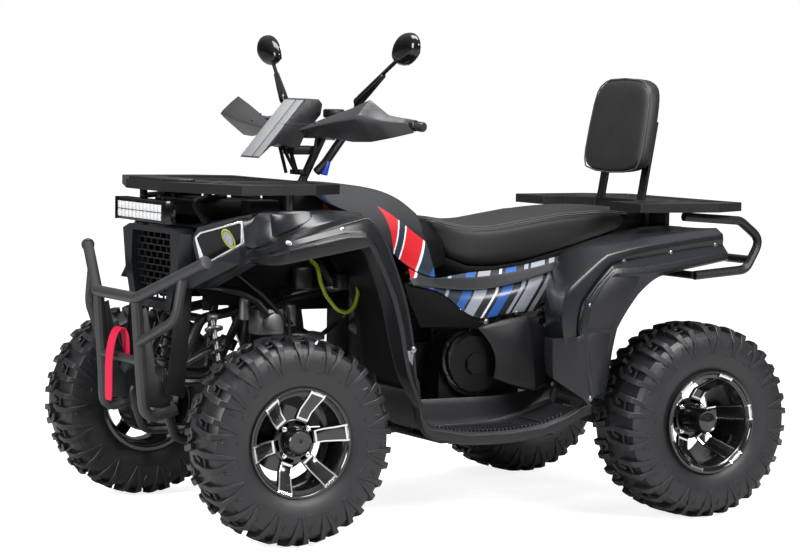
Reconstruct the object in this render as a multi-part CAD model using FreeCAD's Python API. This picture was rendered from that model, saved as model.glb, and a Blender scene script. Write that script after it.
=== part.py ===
"""Utility quad bike, built as an assembly of separate pieces.

Frame: X points forward, Y to the rider's left, Z up, in millimetres.
The origin lies on the floor under the middle of the machine.
Shapes of the left side are mirrored to the right about Y = 0.
"""
import FreeCAD, Part
import math
import os

from FreeCAD import Vector

# Driving dimensions: wheels and axles
WHEELBASE = 1264.0
FRONT_AXLE_X = 682.0
REAR_AXLE_X = FRONT_AXLE_X - WHEELBASE
TYRE_RADIUS = 273.0
AXLE_Z = TYRE_RADIUS
FRONT_HALF_TRACK = 494.0
REAR_HALF_TRACK = 485.0
FRONT_TYRE_WIDTH = 178.0
REAR_TYRE_WIDTH = 230.0
RIM_FLANGE_RADIUS = 143.5
RIM_SEAT_RADIUS = 128.0
RIM_WALL = 5.0
RIM_SIDES = 18
FRONT_RIM_DISH = 43.0
REAR_RIM_DISH = 108.0
LUG_PITCHES = 18
LUG_WIDTH = 40.0
LUG_DEPTH = 16.0
SEAT_GAP = 0.3
RUNNING_GAP = 0.3

ROUND_SIDES = 8
TUBE_SIDES = 6
WHEEL_TURN_DEG = 10.0

# Driving dimensions: steering and front suspension
KINGPIN_INSET = 94.0
KINGPIN_Y = FRONT_HALF_TRACK - KINGPIN_INSET
BALL_JOINT_OFFSET = 75.0
BALL_JOINT_HEIGHT = 20.0
KNUCKLE_RADIUS = 14.0
KNUCKLE_ARM = 78.0
KNUCKLE_ARM_Z = 300.0
SPINDLE_RADIUS = 10.0
COLUMN_FOOT = Vector(650.0, 0.0, 440.0)
COLUMN_RAKE_DEG = 26.6
COLUMN_LENGTH = 716.0
COLUMN_RADIUS = 12.0
PITMAN_ARM = 70.0
PITMAN_PIN_Y = 22.0
PITMAN_THICKNESS = 10.0
ROD_RADIUS = 7.0
ROD_EYE_RADIUS = 11.0
ROD_EYE_HEIGHT = 17.0
ROD_EYE_CLEARANCE = 0.5
ROD_EYE_RISE = 2.2

# Driving dimensions: frame tubes
FRAME_TUBE_RADIUS = 14.0
FRAME_Y = 110.0
LOWER_RAIL_Z = 235.0
UPPER_RAIL_Z = 640.0
MID_RAIL_Z = 390.0
REAR_LOOP_X = -330.0
FRONT_LOOP_X = 830.0
FRONT_TOP_X = 760.0
FRONT_TOP_Z = 560.0
TANK_RAIL_X = 330.0
SUBFRAME_REAR_X = -755.0
SUBFRAME_REAR_Z = 760.0
ARM_TUBE_RADIUS = 11.0
ARM_PIVOT_RADIUS = 13.0
ARM_PIVOT_Y = FRAME_Y + FRAME_TUBE_RADIUS + ARM_PIVOT_RADIUS + SEAT_GAP

# Driving dimensions: racks, bumper and bars
RACK_THICKNESS = 26.0
FRONT_RACK_TOP = 930.0
REAR_RACK_TOP = 872.0
RACK_RIM = 42.0
RACK_SLAT = 26.0
RACK_POST_RADIUS = 11.0
BUMPER_TUBE_RADIUS = 16.0
GRAB_TUBE_RADIUS = 14.0
GUSSET_Y = 128.0
BAR_TUBE_RADIUS = 11.0
GRIP_RADIUS = 16.0

# Driving dimensions: body
PANEL_WALL = 4.0
FLARE_WALL = 5.0
FLOOR_Z = 270.0
SEAT_LOW_Z = 682.0
BOARD_BAR_RADIUS = 11.0
COVER_RADIUS = 90.0
COVER_CENTRE = Vector(-35.0, 215.0, 420.0)
LINER_Y = 161.0

# The wheelbase that the body's points are given for, and the bar's middle for the steering's points
BODY_WHEELBASE = 1264.0
BAR_MIDDLE = (329.4, 0.0, 1080.2)

PARTS = "parts"


def long_x(x):
    """An x of the body; what lies behind the front axle stretches with the wheelbase."""
    behind = min(x - FRONT_AXLE_X, 0)
    return x + behind * (WHEELBASE / BODY_WHEELBASE - 1)


def vec(point):
    """A point of the body as a Vector; a triple stretches with the wheelbase."""
    if isinstance(point, Vector):
        return point
    x, y, z = point
    return Vector(long_x(x), y, z)


def with_bar(points):
    """Triples of the steering as Vectors that move with the middle of the bar."""
    shift = BAR_CENTRE - Vector(*BAR_MIDDLE)
    return [Vector(*point) + shift for point in points]


def block(x0, x1, y0, y1, z0, z1):
    """A box between two corners."""
    return Part.makeBox(long_x(x1) - long_x(x0), y1 - y0, z1 - z0, Vector(long_x(x0), y0, z0))


def round_rod(start, end, radius):
    """A true cylinder between two points, for what turns about it."""
    return Part.makeCylinder(radius, (end - start).Length, start, end - start)


def rod(start, end, radius, sides=0, inside=False):
    """A straight round bar in flat facets; its flats, or inside its corners, lie at the radius."""
    return bar([start, end], radius, sides or ROUND_SIDES, None, inside)


def sleeve(start, end, outer, inner):
    """A round tube between two points with an open bore."""
    run = (end - start).normalize()
    return rod(start, end, outer).cut(rod(start - run, end + run, inner))


def mirrored(shape):
    """The same shape on the other side of the machine."""
    return shape.mirror(Vector(0, 0, 0), Vector(0, 1, 0))


def both_sides(shape):
    """A shape and its mirror image as two solids of one node."""
    return Part.makeCompound([shape, mirrored(shape)])


def fuse(shapes):
    """One solid from shapes that overlap."""
    return shapes[0].multiFuse(shapes[1:]).removeSplitter()


def polygon_prism(points, direction):
    """A flat outline swept along a direction."""
    wire = Part.makePolygon(points + points[:1])
    return Part.Face(wire).extrude(direction)


def closed_solid(faces):
    """A solid from faces that close a volume, with its outside outward."""
    solid = Part.makeSolid(Part.makeShell(faces))
    if solid.Volume < 0:
        solid.reverse()
    return solid


def triangle(a, b, c):
    """One flat three-cornered face."""
    return Part.Face(Part.makePolygon([a, b, c, a]))


def patch(a, b, c, d):
    """A four-cornered face, split in two where its corners aren't level."""
    normal = (b - a).cross(c - a)
    if normal.Length > 1e-9 and abs((d - a).dot(normal.normalize())) < 1e-6:
        return [Part.Face(Part.makePolygon([a, b, c, d, a]))]
    return [triangle(a, b, c), triangle(a, c, d)]


def rounded(points, bend, steps):
    """A path whose inner corners are replaced by chords of a tangent arc."""
    path = [points[0]]
    for before, corner, after in zip(points, points[1:], points[2:]):
        into = (corner - before).normalize()
        out = (after - corner).normalize()
        half = into.getAngle(out) / 2
        inward = (out - into).normalize()
        centre = corner + inward * (bend / math.cos(half))
        along = (into + out).normalize()
        for k in range(steps + 1):
            angle = half * (2.0 * k / steps - 1)
            path.append(centre - inward * (bend * math.cos(angle)) + along * (bend * math.sin(angle)))
    path.append(points[-1])
    return path


def bar(path, radius, sides, up=None, inside=False):
    """A bar in flat facets along a path, mitred where two runs meet."""
    runs = [(b - a).normalize() for a, b in zip(path, path[1:])]
    if up is None:
        up = Vector(0, 0, 1) if abs(runs[0].y) > 0.8 else Vector(0, 1, 0)
    across = runs[0].cross(up).normalize()
    other = across.cross(runs[0])
    corner = radius if inside else radius / math.cos(math.pi / sides)
    loop = []
    for k in range(sides):
        angle = math.pi * (2 * k + (sides != TUBE_SIDES)) / sides
        loop.append(path[0] + across * (corner * math.cos(angle)) + other * (corner * math.sin(angle)))
    faces = [Part.Face(Part.makePolygon(loop + loop[:1]))]
    for i, run in enumerate(runs):
        normal = run + runs[i + 1] if i + 1 < len(runs) else run
        end = path[i + 1]
        further = [p + run * ((end - p).dot(normal) / run.dot(normal)) for p in loop]
        for k in range(sides):
            n = (k + 1) % sides
            faces += patch(loop[k], further[k], further[n], loop[n])
        loop = further
    faces.append(Part.Face(Part.makePolygon(loop + loop[:1])))
    return closed_solid(faces)


def bent_bar(points, radius, bend, sides=0, steps=1):
    """A bar along straight runs with rounded bends."""
    corners = [vec(p) for p in points]
    return bar(rounded(corners, bend, steps), radius, sides or TUBE_SIDES)


def vertex_normals(grid):
    """Mitred normals of a grid of points, longer where faces meet at an angle."""
    rows = len(grid)
    cols = len(grid[0])
    normals = []
    for i in range(rows):
        line = []
        for j in range(cols):
            around = []
            for di, dj in ((0, 0), (-1, 0), (-1, -1), (0, -1)):
                a, b = i + di, j + dj
                if 0 <= a < rows - 1 and 0 <= b < cols - 1:
                    first = grid[a + 1][b + 1] - grid[a][b]
                    second = grid[a][b + 1] - grid[a + 1][b]
                    around.append(first.cross(second).normalize())
            mean = Vector(0, 0, 0)
            for normal in around:
                mean += normal
            mean.normalize()
            spread = min(mean.dot(normal) for normal in around)
            line.append(mean * (1 / max(spread, 0.6)))
        normals.append(line)
    return normals


def skin(rows, wall, side=1):
    """A moulded panel: a surface through rows of points, thickened inward."""
    outer = [[vec(p) for p in row] for row in rows]
    normals = vertex_normals(outer)
    inner = [[p - n * (wall * side) for p, n in zip(row, line)] for row, line in zip(outer, normals)]
    last_row = len(outer) - 1
    last_col = len(outer[0]) - 1
    faces = []
    for i in range(last_row):
        for j in range(last_col):
            faces += patch(outer[i][j], outer[i + 1][j], outer[i + 1][j + 1], outer[i][j + 1])
            faces += patch(inner[i][j], inner[i][j + 1], inner[i + 1][j + 1], inner[i + 1][j])
    for i in range(last_row):
        for j in (0, last_col):
            faces += patch(outer[i][j], outer[i + 1][j], inner[i + 1][j], inner[i][j])
    for j in range(last_col):
        for i in (0, last_row):
            faces += patch(outer[i][j], outer[i][j + 1], inner[i][j + 1], inner[i][j])
    return closed_solid(faces)


def mirrored_rows(rows):
    """Rows that run from the centre line to the left, completed to the right."""
    whole = []
    for row in rows:
        right = [(x, -y, z) for x, y, z in reversed(row) if y > 0]
        whole.append(right + list(row))
    return whole


def section_loft(sections):
    """A closed body through cross sections with the same number of corners."""
    loops = [[vec(p) for p in section] for section in sections]
    count = len(loops[0])
    faces = [Part.Face(Part.makePolygon(loop + loop[:1])) for loop in (loops[0], loops[-1])]
    for near, far in zip(loops, loops[1:]):
        for k in range(count):
            n = (k + 1) % count
            faces += patch(near[k], far[k], far[n], near[n])
    return closed_solid(faces)


def ring(profile, sides, start=0.0):
    """A closed (y, r) outline turned about the Y axis in flat facets."""
    angles = [math.radians(start + 360.0 * k / sides) for k in range(sides)]
    loops = []
    for angle in angles:
        loops.append([Vector(r * math.cos(angle), y, r * math.sin(angle)) for y, r in profile])
    faces = []
    count = len(profile)
    for k in range(sides):
        here = loops[k]
        there = loops[(k + 1) % sides]
        for j in range(count):
            n = (j + 1) % count
            faces += patch(here[j], there[j], there[n], here[n])
    return closed_solid(faces)


def lug(profile, angle, width, skew=0.0):
    """A tread block: a (y, r) outline swept across the tread at one angle."""
    half = width / 2
    near = [Vector(r, y, -half + skew * y) for y, r in profile]
    far = [Vector(r, y, half + skew * y) for y, r in profile]
    faces = []
    count = len(profile)
    for j in range(count):
        n = (j + 1) % count
        faces += patch(near[j], near[n], far[n], far[j])
    faces.append(Part.Face(Part.makePolygon(near + near[:1])))
    faces.append(Part.Face(Part.makePolygon(far + far[:1])))
    solid = closed_solid(faces)
    solid.rotate(Vector(0, 0, 0), Vector(0, -1, 0), angle)
    return solid


def tyre(width):
    """A tyre about the Y axis with shoulder and centre lugs."""
    half = width / 2
    bead = RIM_SEAT_RADIUS + SEAT_GAP
    side = half - 6
    base = TYRE_RADIUS - LUG_DEPTH
    pitch = 360.0 / LUG_PITCHES
    profile = [
        (-side + 14, bead), (side - 14, bead), (side - 14, RIM_FLANGE_RADIUS + 1),
        (side, 195), (side - 5, base - 22), (side - 26, base), (-side + 26, base), (-side + 5, base - 22),
        (-side, 195), (-side + 14, RIM_FLANGE_RADIUS + 1),
    ]
    carcass = ring(profile, RIM_SIDES, 180.0 / RIM_SIDES)
    top = TYRE_RADIUS
    inner_y = half * 0.10
    shoulder = [(inner_y, base - 14), (inner_y, top), (half - 14, top - 3), (half, base - 16),
                (side - 9, 205)]
    lugs = []
    for k in range(LUG_PITCHES):
        angle = pitch * k - 90
        lugs.append(lug(shoulder, angle, LUG_WIDTH))
        lugs.append(lug([(-y, r) for y, r in shoulder], angle + pitch / 2, LUG_WIDTH))
    return carcass.multiFuse(lugs)


def rim(half_width, dish):
    """A cast wheel about the Y axis, its outer face towards +Y."""
    flange = RIM_FLANGE_RADIUS
    seat = RIM_SEAT_RADIUS
    wall = RIM_WALL
    section = [
        (-half_width, flange), (-half_width + wall, seat), (half_width - wall, seat), (half_width, flange),
        (half_width, seat - 3), (-half_width, seat - wall - 2),
    ]
    barrel = ring(section, RIM_SIDES, 180.0 / RIM_SIDES)
    face = half_width - dish
    spoke_outline = [(face + dish - 14, seat - 2), (face, 46), (face - 16, 46), (face + dish - 44, seat - 2)]
    spokes = []
    for k in range(6):
        spokes.append(lug(spoke_outline, 60 * k, 40))
    hub = ring([(face - 22, 0.01), (face - 22, 55), (face, 55), (face, 0.01)], 6, 30)
    cap = rod(Vector(0, face - 1, 0), Vector(0, face + dish * 0.55, 0), 32, 12)
    return fuse([barrel, hub, cap] + spokes)


def placed(shape, x, y):
    """A wheel piece moved to its axle."""
    copy = shape.copy()
    copy.rotate(Vector(0, 0, 0), Vector(0, -1, 0), WHEEL_TURN_DEG)
    copy.translate(Vector(x, y, AXLE_Z))
    return copy


FRONT_RIM_HALF = 77.0
REAR_RIM_HALF = 110.0
HUB_RADIUS = 30.0
FRONT_HUB_INNER_Y = KINGPIN_Y + KNUCKLE_RADIUS + 22.0
HUB_BORE_DEPTH = 60.0
REAR_AXLE_RADIUS = 16.0


def front_rim():
    """The front wheel with its hub, bored for the knuckle's spindle."""
    wheel = rim(FRONT_RIM_HALF, FRONT_RIM_DISH)
    start = FRONT_HUB_INNER_Y - FRONT_HALF_TRACK
    face = FRONT_RIM_HALF - FRONT_RIM_DISH - 4
    hub = rod(Vector(0, start, 0), Vector(0, face, 0), HUB_RADIUS)
    disc = rod(Vector(0, start + 8, 0), Vector(0, start + 12, 0), 88)
    bore = round_rod(Vector(0, start - 1, 0), Vector(0, start + HUB_BORE_DEPTH, 0),
                     SPINDLE_RADIUS + RUNNING_GAP)
    return fuse([wheel, hub, disc]).cut(bore)


def rear_rim():
    """The rear wheel with its deep dish, bored for the axle."""
    wheel = rim(REAR_RIM_HALF, REAR_RIM_DISH)
    face = REAR_RIM_HALF - REAR_RIM_DISH
    hub = rod(Vector(0, face - 60, 0), Vector(0, face - 1, 0), HUB_RADIUS)
    bore = rod(Vector(0, face - 61, 0), Vector(0, face - 6, 0), REAR_AXLE_RADIUS + SEAT_GAP)
    return fuse([wheel, hub]).cut(bore)


def rear_axle():
    """The live axle that carries both rear wheels."""
    end = REAR_HALF_TRACK + REAR_RIM_HALF - REAR_RIM_DISH - 6.5
    axle = rod(Vector(REAR_AXLE_X, -end, AXLE_Z), Vector(REAR_AXLE_X, end, AXLE_Z), REAR_AXLE_RADIUS,
               ROUND_SIDES, True)
    disc = rod(Vector(REAR_AXLE_X, 232, AXLE_Z), Vector(REAR_AXLE_X, 236, AXLE_Z), 90)
    carrier = rod(Vector(REAR_AXLE_X, 222, AXLE_Z), Vector(REAR_AXLE_X, 246, AXLE_Z), 34)
    return fuse([axle, disc, carrier])


# Steering and front suspension

COLUMN_AXIS = Vector(-math.sin(math.radians(COLUMN_RAKE_DEG)), 0, math.cos(math.radians(COLUMN_RAKE_DEG)))
COLUMN_ACROSS = Vector(-math.cos(math.radians(COLUMN_RAKE_DEG)), 0, -math.sin(math.radians(COLUMN_RAKE_DEG)))
BAR_CENTRE = COLUMN_FOOT + COLUMN_AXIS * COLUMN_LENGTH
CLAMP_HALF = 20.0
BAR_BORE = BAR_TUBE_RADIUS + SEAT_GAP
BAR_CORNER = BAR_TUBE_RADIUS / math.cos(math.pi / ROUND_SIDES)


def knuckle(side):
    """The upright between the two ball joints, its spindle and its steering arm."""
    x = FRONT_AXLE_X
    y = KINGPIN_Y
    low = AXLE_Z - BALL_JOINT_OFFSET + BALL_JOINT_HEIGHT / 2 + SEAT_GAP
    high = AXLE_Z + BALL_JOINT_OFFSET - BALL_JOINT_HEIGHT / 2 - SEAT_GAP
    post = rod(Vector(x, y, low), Vector(x, y, high), KNUCKLE_RADIUS)
    boss = rod(Vector(x, y, AXLE_Z), Vector(x, FRONT_HUB_INNER_Y - RUNNING_GAP, AXLE_Z), 24)
    spindle = rod(Vector(x, y, AXLE_Z), Vector(x, FRONT_HUB_INNER_Y + HUB_BORE_DEPTH - 4, AXLE_Z),
                  SPINDLE_RADIUS, ROUND_SIDES, True)
    arm = Part.makeBox(KNUCKLE_ARM, 16, 12, Vector(x - KNUCKLE_ARM, y - 8, KNUCKLE_ARM_Z - 12))
    eye = rod(Vector(x - KNUCKLE_ARM, y, KNUCKLE_ARM_Z - 12), Vector(x - KNUCKLE_ARM, y, KNUCKLE_ARM_Z), 12)
    shape = fuse([post, boss, spindle, arm, eye])
    return shape if side > 0 else mirrored(shape)


def tie_rod(side):
    """The rod from the pitman arm to the knuckle's steering arm."""
    pin = COLUMN_FOOT + COLUMN_ACROSS * PITMAN_ARM + Vector(0, PITMAN_PIN_Y, 0)
    inner_top = pin - COLUMN_AXIS * ROD_EYE_CLEARANCE
    inner_low = inner_top - COLUMN_AXIS * ROD_EYE_HEIGHT
    outer_low = Vector(FRONT_AXLE_X - KNUCKLE_ARM, KINGPIN_Y, KNUCKLE_ARM_Z + ROD_EYE_RISE)
    outer_top = outer_low + Vector(0, 0, ROD_EYE_HEIGHT)
    inner = round_rod(inner_low, inner_top, ROD_EYE_RADIUS)
    outer = rod(outer_low, outer_top, ROD_EYE_RADIUS)
    link = rod((inner_low + inner_top) * 0.5, (outer_low + outer_top) * 0.5, ROD_RADIUS)
    shape = fuse([inner, outer, link])
    return shape if side > 0 else mirrored(shape)


def steering_column():
    """The raked column with the pitman arm at its foot and the bar clamp on top."""
    column = round_rod(COLUMN_FOOT, BAR_CENTRE - COLUMN_AXIS * (BAR_TUBE_RADIUS + 12), COLUMN_RADIUS)
    pitman_pin = COLUMN_FOOT + COLUMN_ACROSS * PITMAN_ARM
    corners = [
        COLUMN_FOOT + COLUMN_ACROSS * (-14) + Vector(0, -16, 0),
        COLUMN_FOOT + COLUMN_ACROSS * (-14) + Vector(0, 16, 0),
        pitman_pin + COLUMN_ACROSS * 14 + Vector(0, PITMAN_PIN_Y + 12, 0),
        pitman_pin + COLUMN_ACROSS * 14 + Vector(0, -PITMAN_PIN_Y - 12, 0),
    ]
    pitman = polygon_prism(corners, COLUMN_AXIS * PITMAN_THICKNESS)
    clamp_low = BAR_CENTRE - COLUMN_AXIS * (BAR_TUBE_RADIUS + 24)
    clamp = polygon_prism([
        clamp_low + COLUMN_ACROSS * CLAMP_HALF + Vector(0, -44, 0),
        clamp_low + COLUMN_ACROSS * CLAMP_HALF + Vector(0, 44, 0),
        clamp_low - COLUMN_ACROSS * CLAMP_HALF + Vector(0, 44, 0),
        clamp_low - COLUMN_ACROSS * CLAMP_HALF + Vector(0, -44, 0),
    ], COLUMN_AXIS * (BAR_TUBE_RADIUS + 24 - BAR_CORNER - 0.1))
    return fuse([column, pitman, clamp])


GRIP_START_Y = 280.0
BAR_END_Y = 412.0
BAR_BEND_LOW = (BAR_MIDDLE[0], 95.0, BAR_MIDDLE[2])
BAR_BEND_HIGH = (352.0, 175.0, 1112.0)
BAR_END = (270.0, BAR_END_Y, 1088.0)


def handlebar():
    """The bent bar from end to end."""
    left = [BAR_END, BAR_BEND_HIGH, BAR_BEND_LOW]
    right = [(x, -y, z) for x, y, z in reversed(left)]
    return bent_bar(with_bar(left + right), BAR_TUBE_RADIUS, 42, ROUND_SIDES)


def along_bar(y):
    """The point of the bar's grip run at one y."""
    high, end = with_bar([BAR_BEND_HIGH, BAR_END])
    return high + (end - high) * ((y - high.y) / (end.y - high.y))


def grips_levers():
    """Each side's rubber grip, control block and brake lever."""
    grip = sleeve(along_bar(GRIP_START_Y), along_bar(BAR_END_Y - 6), GRIP_RADIUS, BAR_BORE)
    pod = sleeve(along_bar(225), along_bar(GRIP_START_Y + 1), 21, BAR_BORE)
    lever = bent_bar(with_bar([(341, 252, 1102), (372, 276, 1096), (350, 400, 1082)]), 6, 12)
    return fuse([grip, pod, lever])


HEAD_Y = 414.0
HEAD_Z = 1292.0


def mirror():
    """A mirror on its bent stem, with its bar clamp."""
    clamp = sleeve(along_bar(206), along_bar(224), 19, BAR_BORE)
    stem = bent_bar(with_bar([(350, 215, 1122), (356, 226, 1158), (316, 392, 1270)]), 6, 18)
    outline = [(346, 1264), (360, 1304), (400, 1334), (450, 1338), (484, 1316), (484, 1280), (424, 1246)]
    sections = []
    for x, shrink in ((300, 0.98), (316, 1.0), (334, 0.6)):
        sections.append(with_bar([(x, HEAD_Y + (y - HEAD_Y) * shrink, HEAD_Z + (z - HEAD_Z) * shrink)
                                for y, z in outline]))
    return fuse([clamp, stem, section_loft(sections)])


def hand_guard():
    """The moulded guard in front of one grip."""
    rows = [
        [(448, 104, 1084), (436, 240, 1124), (403, 425, 1163), (330, 448, 1122)],
        [(470, 102, 1068), (482, 250, 1092), (472, 446, 1113), (330, 464, 1104)],
        [(445, 110, 1050), (430, 250, 1033), (408, 400, 1042), (305, 452, 1076)],
    ]
    shell = skin([with_bar(row) for row in rows], 5.0, -1)
    end, high, boss_end, reach = with_bar([BAR_END, BAR_BEND_HIGH, (312, 456, 1094), (474, 200, 1090)])
    outward = (end - high).normalize()
    cap = rod(end + outward * SEAT_GAP, end + outward * 24, 14)
    boss = rod(end + outward * 16, boss_end, 8)
    stay = rod(along_bar(200) + (reach - along_bar(200)).normalize() * 15, reach, 4.5)
    clamp = sleeve(along_bar(195), along_bar(205), 17, BAR_BORE)
    return fuse([shell, cap, boss, clamp, stay])


def instrument_pod():
    """The faceted screen and instrument housing above the column, seated on the bar clamp."""
    front = Vector(*BAR_MIDDLE) - COLUMN_ACROSS * (CLAMP_HALF + SEAT_GAP)
    seat_high = front + COLUMN_AXIS * 8
    seat_low = front - COLUMN_AXIS * 34
    outer = [(388, 1157), (330, 1150), (seat_high.x, seat_high.z), (seat_low.x, seat_low.z), (404, 1020),
             (544, 988), (575, 991)]
    sections = []
    for y, shrink in ((-64, 0.82), (-44, 1.0), (44, 1.0), (64, 0.82)):
        centre_x = 440
        centre_z = 1080
        sections.append(with_bar([(centre_x + (x - centre_x) * shrink, y, centre_z + (z - centre_z) * shrink)
                                for x, z in outer]))
    return section_loft(sections)


UPPER_ARM_X = (670.0, 706.0)
LOWER_ARM_X = (620.0, 786.0)
SHOCK_X = 740.0
SHOCK_LOW = Vector(SHOCK_X, 262.0, 241.8)
SHOCK_TOP_Z = 566.0


def front_arm(pivot_xs, pivot_z, eye_z):
    """One A-arm: two tubes from the frame pivots to the ball joint."""
    eye = Vector(FRONT_AXLE_X, KINGPIN_Y, eye_z)
    half = Vector(0, 0, BALL_JOINT_HEIGHT / 2)
    pieces = [rod(eye - half, eye + half, 15)]
    for x in pivot_xs:
        pivot = Vector(x, ARM_PIVOT_Y, pivot_z)
        pieces.append(rod(pivot - Vector(17, 0, 0), pivot + Vector(17, 0, 0), ARM_PIVOT_RADIUS, TUBE_SIDES))
        pieces.append(rod(pivot, eye, ARM_TUBE_RADIUS, TUBE_SIDES))
    cut = rod(eye - half * 3, eye - half, 17).fuse(rod(eye + half, eye + half * 3, 17))
    return fuse(pieces).cut(cut)


def front_arms():
    """Upper and lower A-arms of both sides."""
    upper = front_arm(UPPER_ARM_X, MID_RAIL_Z, AXLE_Z + BALL_JOINT_OFFSET)
    lower = front_arm(LOWER_ARM_X, LOWER_RAIL_Z, AXLE_Z - BALL_JOINT_OFFSET)
    return Part.makeCompound([upper, mirrored(upper), lower, mirrored(lower)])


def shock(low, top, spring_radius):
    """A damper with its spring sleeve between two eyes."""
    axis = (top - low).normalize()
    length = (top - low).Length
    across = Vector(1, 0, 0)
    pieces = [
        rod(low - across * 12, low + across * 12, 12),
        rod(top - across * 12, top + across * 12, 12),
        rod(low, top, 8),
        rod(low + axis * 20, low + axis * (length * 0.55), 18),
        rod(low + axis * 52, top - axis * 30, spring_radius),
    ]
    return fuse(pieces)


def front_shock():
    """The left front spring and damper unit."""
    top = Vector(SHOCK_X, FRAME_Y + FRAME_TUBE_RADIUS + 12 + SEAT_GAP, SHOCK_TOP_Z)
    return shock(SHOCK_LOW, top, 26)


# Frame, racks and bars

COLUMN_COLLAR_AT = 430.0


def frame():
    """Tubular frame: two side loops, rails, cross tubes, subframe and rack posts."""
    r = FRAME_TUBE_RADIUS
    y = FRAME_Y
    front_nose = (866, y, 340)
    side = [
        bent_bar([(0, y, UPPER_RAIL_Z), (TANK_RAIL_X, y, UPPER_RAIL_Z), (FRONT_TOP_X, y, FRONT_TOP_Z),
                  front_nose, (FRONT_LOOP_X, y, LOWER_RAIL_Z), (100, y, LOWER_RAIL_Z)], r, 36),
        bent_bar([(100, y, LOWER_RAIL_Z), (REAR_LOOP_X, y, LOWER_RAIL_Z), (-400, y, 420),
                  (REAR_LOOP_X, y, UPPER_RAIL_Z), (0, y, UPPER_RAIL_Z)], r, 36),
        bent_bar([(842, y, MID_RAIL_Z), (640, y, MID_RAIL_Z), (620, y, 586)], r - 1, 30),
        bent_bar([(REAR_LOOP_X + 40, y, UPPER_RAIL_Z), (SUBFRAME_REAR_X, y, SUBFRAME_REAR_Z)], r - 1, 36),
        bent_bar([(-392, y, 420), (-650, y, 728)], r - 2, 36),
    ]
    pieces = []
    for tube in side:
        pieces += [tube, mirrored(tube)]
    for x, z in ((FRONT_TOP_X, FRONT_TOP_Z), (700, LOWER_RAIL_Z), (-300, LOWER_RAIL_Z),
                 (REAR_LOOP_X + 20, UPPER_RAIL_Z), (SUBFRAME_REAR_X + 20, SUBFRAME_REAR_Z - 5),
                 (836, MID_RAIL_Z)):
        pieces.append(rod(vec((x, -y, z)), vec((x, y, z)), r - 2, TUBE_SIDES))
    bearing = COLUMN_FOOT + COLUMN_AXIS * 30
    pieces.append(rod(Vector(836, 0, MID_RAIL_Z), bearing + COLUMN_ACROSS * (-22), 10))
    pieces.append(rod(bearing, bearing + COLUMN_AXIS * 30, 26))
    collar = COLUMN_FOOT + COLUMN_AXIS * COLUMN_COLLAR_AT
    pieces.append(rod(collar, collar + COLUMN_AXIS * 30, 26))
    bore = round_rod(COLUMN_FOOT, collar + COLUMN_AXIS * 60, COLUMN_RADIUS + RUNNING_GAP)
    board = FLOOR_Z - SEAT_GAP - BOARD_BAR_RADIUS
    for x in (180, -130):
        pieces.append(rod(Vector(long_x(x), -470, board), Vector(long_x(x), 470, board), BOARD_BAR_RADIUS))
    for sign in (1, -1):
        pieces.append(block(-145, -115, sign * y - 10, sign * y + 10, UPPER_RAIL_Z, SEAT_LOW_Z - SEAT_GAP))
        foot = Vector(360, sign * y, UPPER_RAIL_Z - 6)
        pieces.append(rod(foot, collar + COLUMN_AXIS * 15 + Vector(0, sign * 20, 0), 9, TUBE_SIDES))
    return fuse(pieces).cut(bore)


RACK_POST_Y = FRAME_Y
FRONT_POSTS = (745.0, 500.0)
REAR_POSTS = (-668.0, -740.0)
RAIL_TOP = FRAME_TUBE_RADIUS / math.cos(math.pi / TUBE_SIDES)


def upper_rail_z(x):
    """Height of the upper rail's axis at one x."""
    if x > TANK_RAIL_X:
        share = (x - TANK_RAIL_X) / (FRONT_TOP_X - TANK_RAIL_X)
        return UPPER_RAIL_Z + share * (FRONT_TOP_Z - UPPER_RAIL_Z)
    share = (REAR_LOOP_X - x) / (REAR_LOOP_X - SUBFRAME_REAR_X)
    return UPPER_RAIL_Z + share * (SUBFRAME_REAR_Z - UPPER_RAIL_Z)


def rack_posts(xs, top):
    """The posts that stand on the frame rails and carry a rack."""
    posts = []
    for x in xs:
        for sign in (1, -1):
            slope = abs(upper_rail_z(x + RACK_POST_RADIUS) - upper_rail_z(x))
            foot = upper_rail_z(x) + RAIL_TOP * 1.04 + SEAT_GAP + slope
            y = sign * RACK_POST_Y
            posts.append(rod(Vector(long_x(x), y, foot), Vector(long_x(x), y, top), RACK_POST_RADIUS))
    return posts


def rack_deck(outline, top, slats, cut_out=None):
    """A slatted deck: a rim that follows the outline, with slats across the middle."""
    low = top - RACK_THICKNESS
    whole = [Vector(long_x(x), y, low) for x, y in outline]
    centre_x = sum(p.x for p in whole) / len(whole)
    deck = polygon_prism(whole, Vector(0, 0, RACK_THICKNESS))
    window = []
    for p in whole:
        away = Vector(p.x - centre_x, p.y, 0)
        window.append(p - away.normalize() * RACK_RIM * 1.3)
    opening = polygon_prism([Vector(p.x, p.y, low - 1) for p in window], Vector(0, 0, RACK_THICKNESS + 2))
    pieces = [deck.cut(opening)]
    for x0, x1, y0, y1 in slats:
        pieces.append(block(x0, x1, y0, y1, low, top).common(deck))
    shape = fuse(pieces)
    if cut_out:
        shape = shape.cut(polygon_prism([Vector(long_x(x), y, low - 1) for x, y in cut_out],
                                        Vector(0, 0, RACK_THICKNESS + 2)))
    return shape


def symmetric(points):
    """A half outline from front centre to rear centre, closed on the other side."""
    return points + [(x, -y) for x, y in reversed(points)]


def front_rack():
    """The front rack with its posts and raised middle plate."""
    outline = symmetric([(886, 119), (780, 400), (560, 392), (462, 337)])
    slats = []
    for y in (-300, -200, -100, 0, 100, 200, 300):
        slats.append((470, 880, y - RACK_SLAT / 2, y + RACK_SLAT / 2))
    slats.append((720, 764, -390, 390))
    deck = rack_deck(outline, FRONT_RACK_TOP, slats)
    plate = polygon_prism([Vector(long_x(x), y, FRONT_RACK_TOP - 10) for x, y in
                           symmetric([(882, 112), (800, 150)])], Vector(0, 0, 18))
    posts = rack_posts(FRONT_POSTS, FRONT_RACK_TOP - 12)
    return fuse([deck, plate] + posts)


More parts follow.
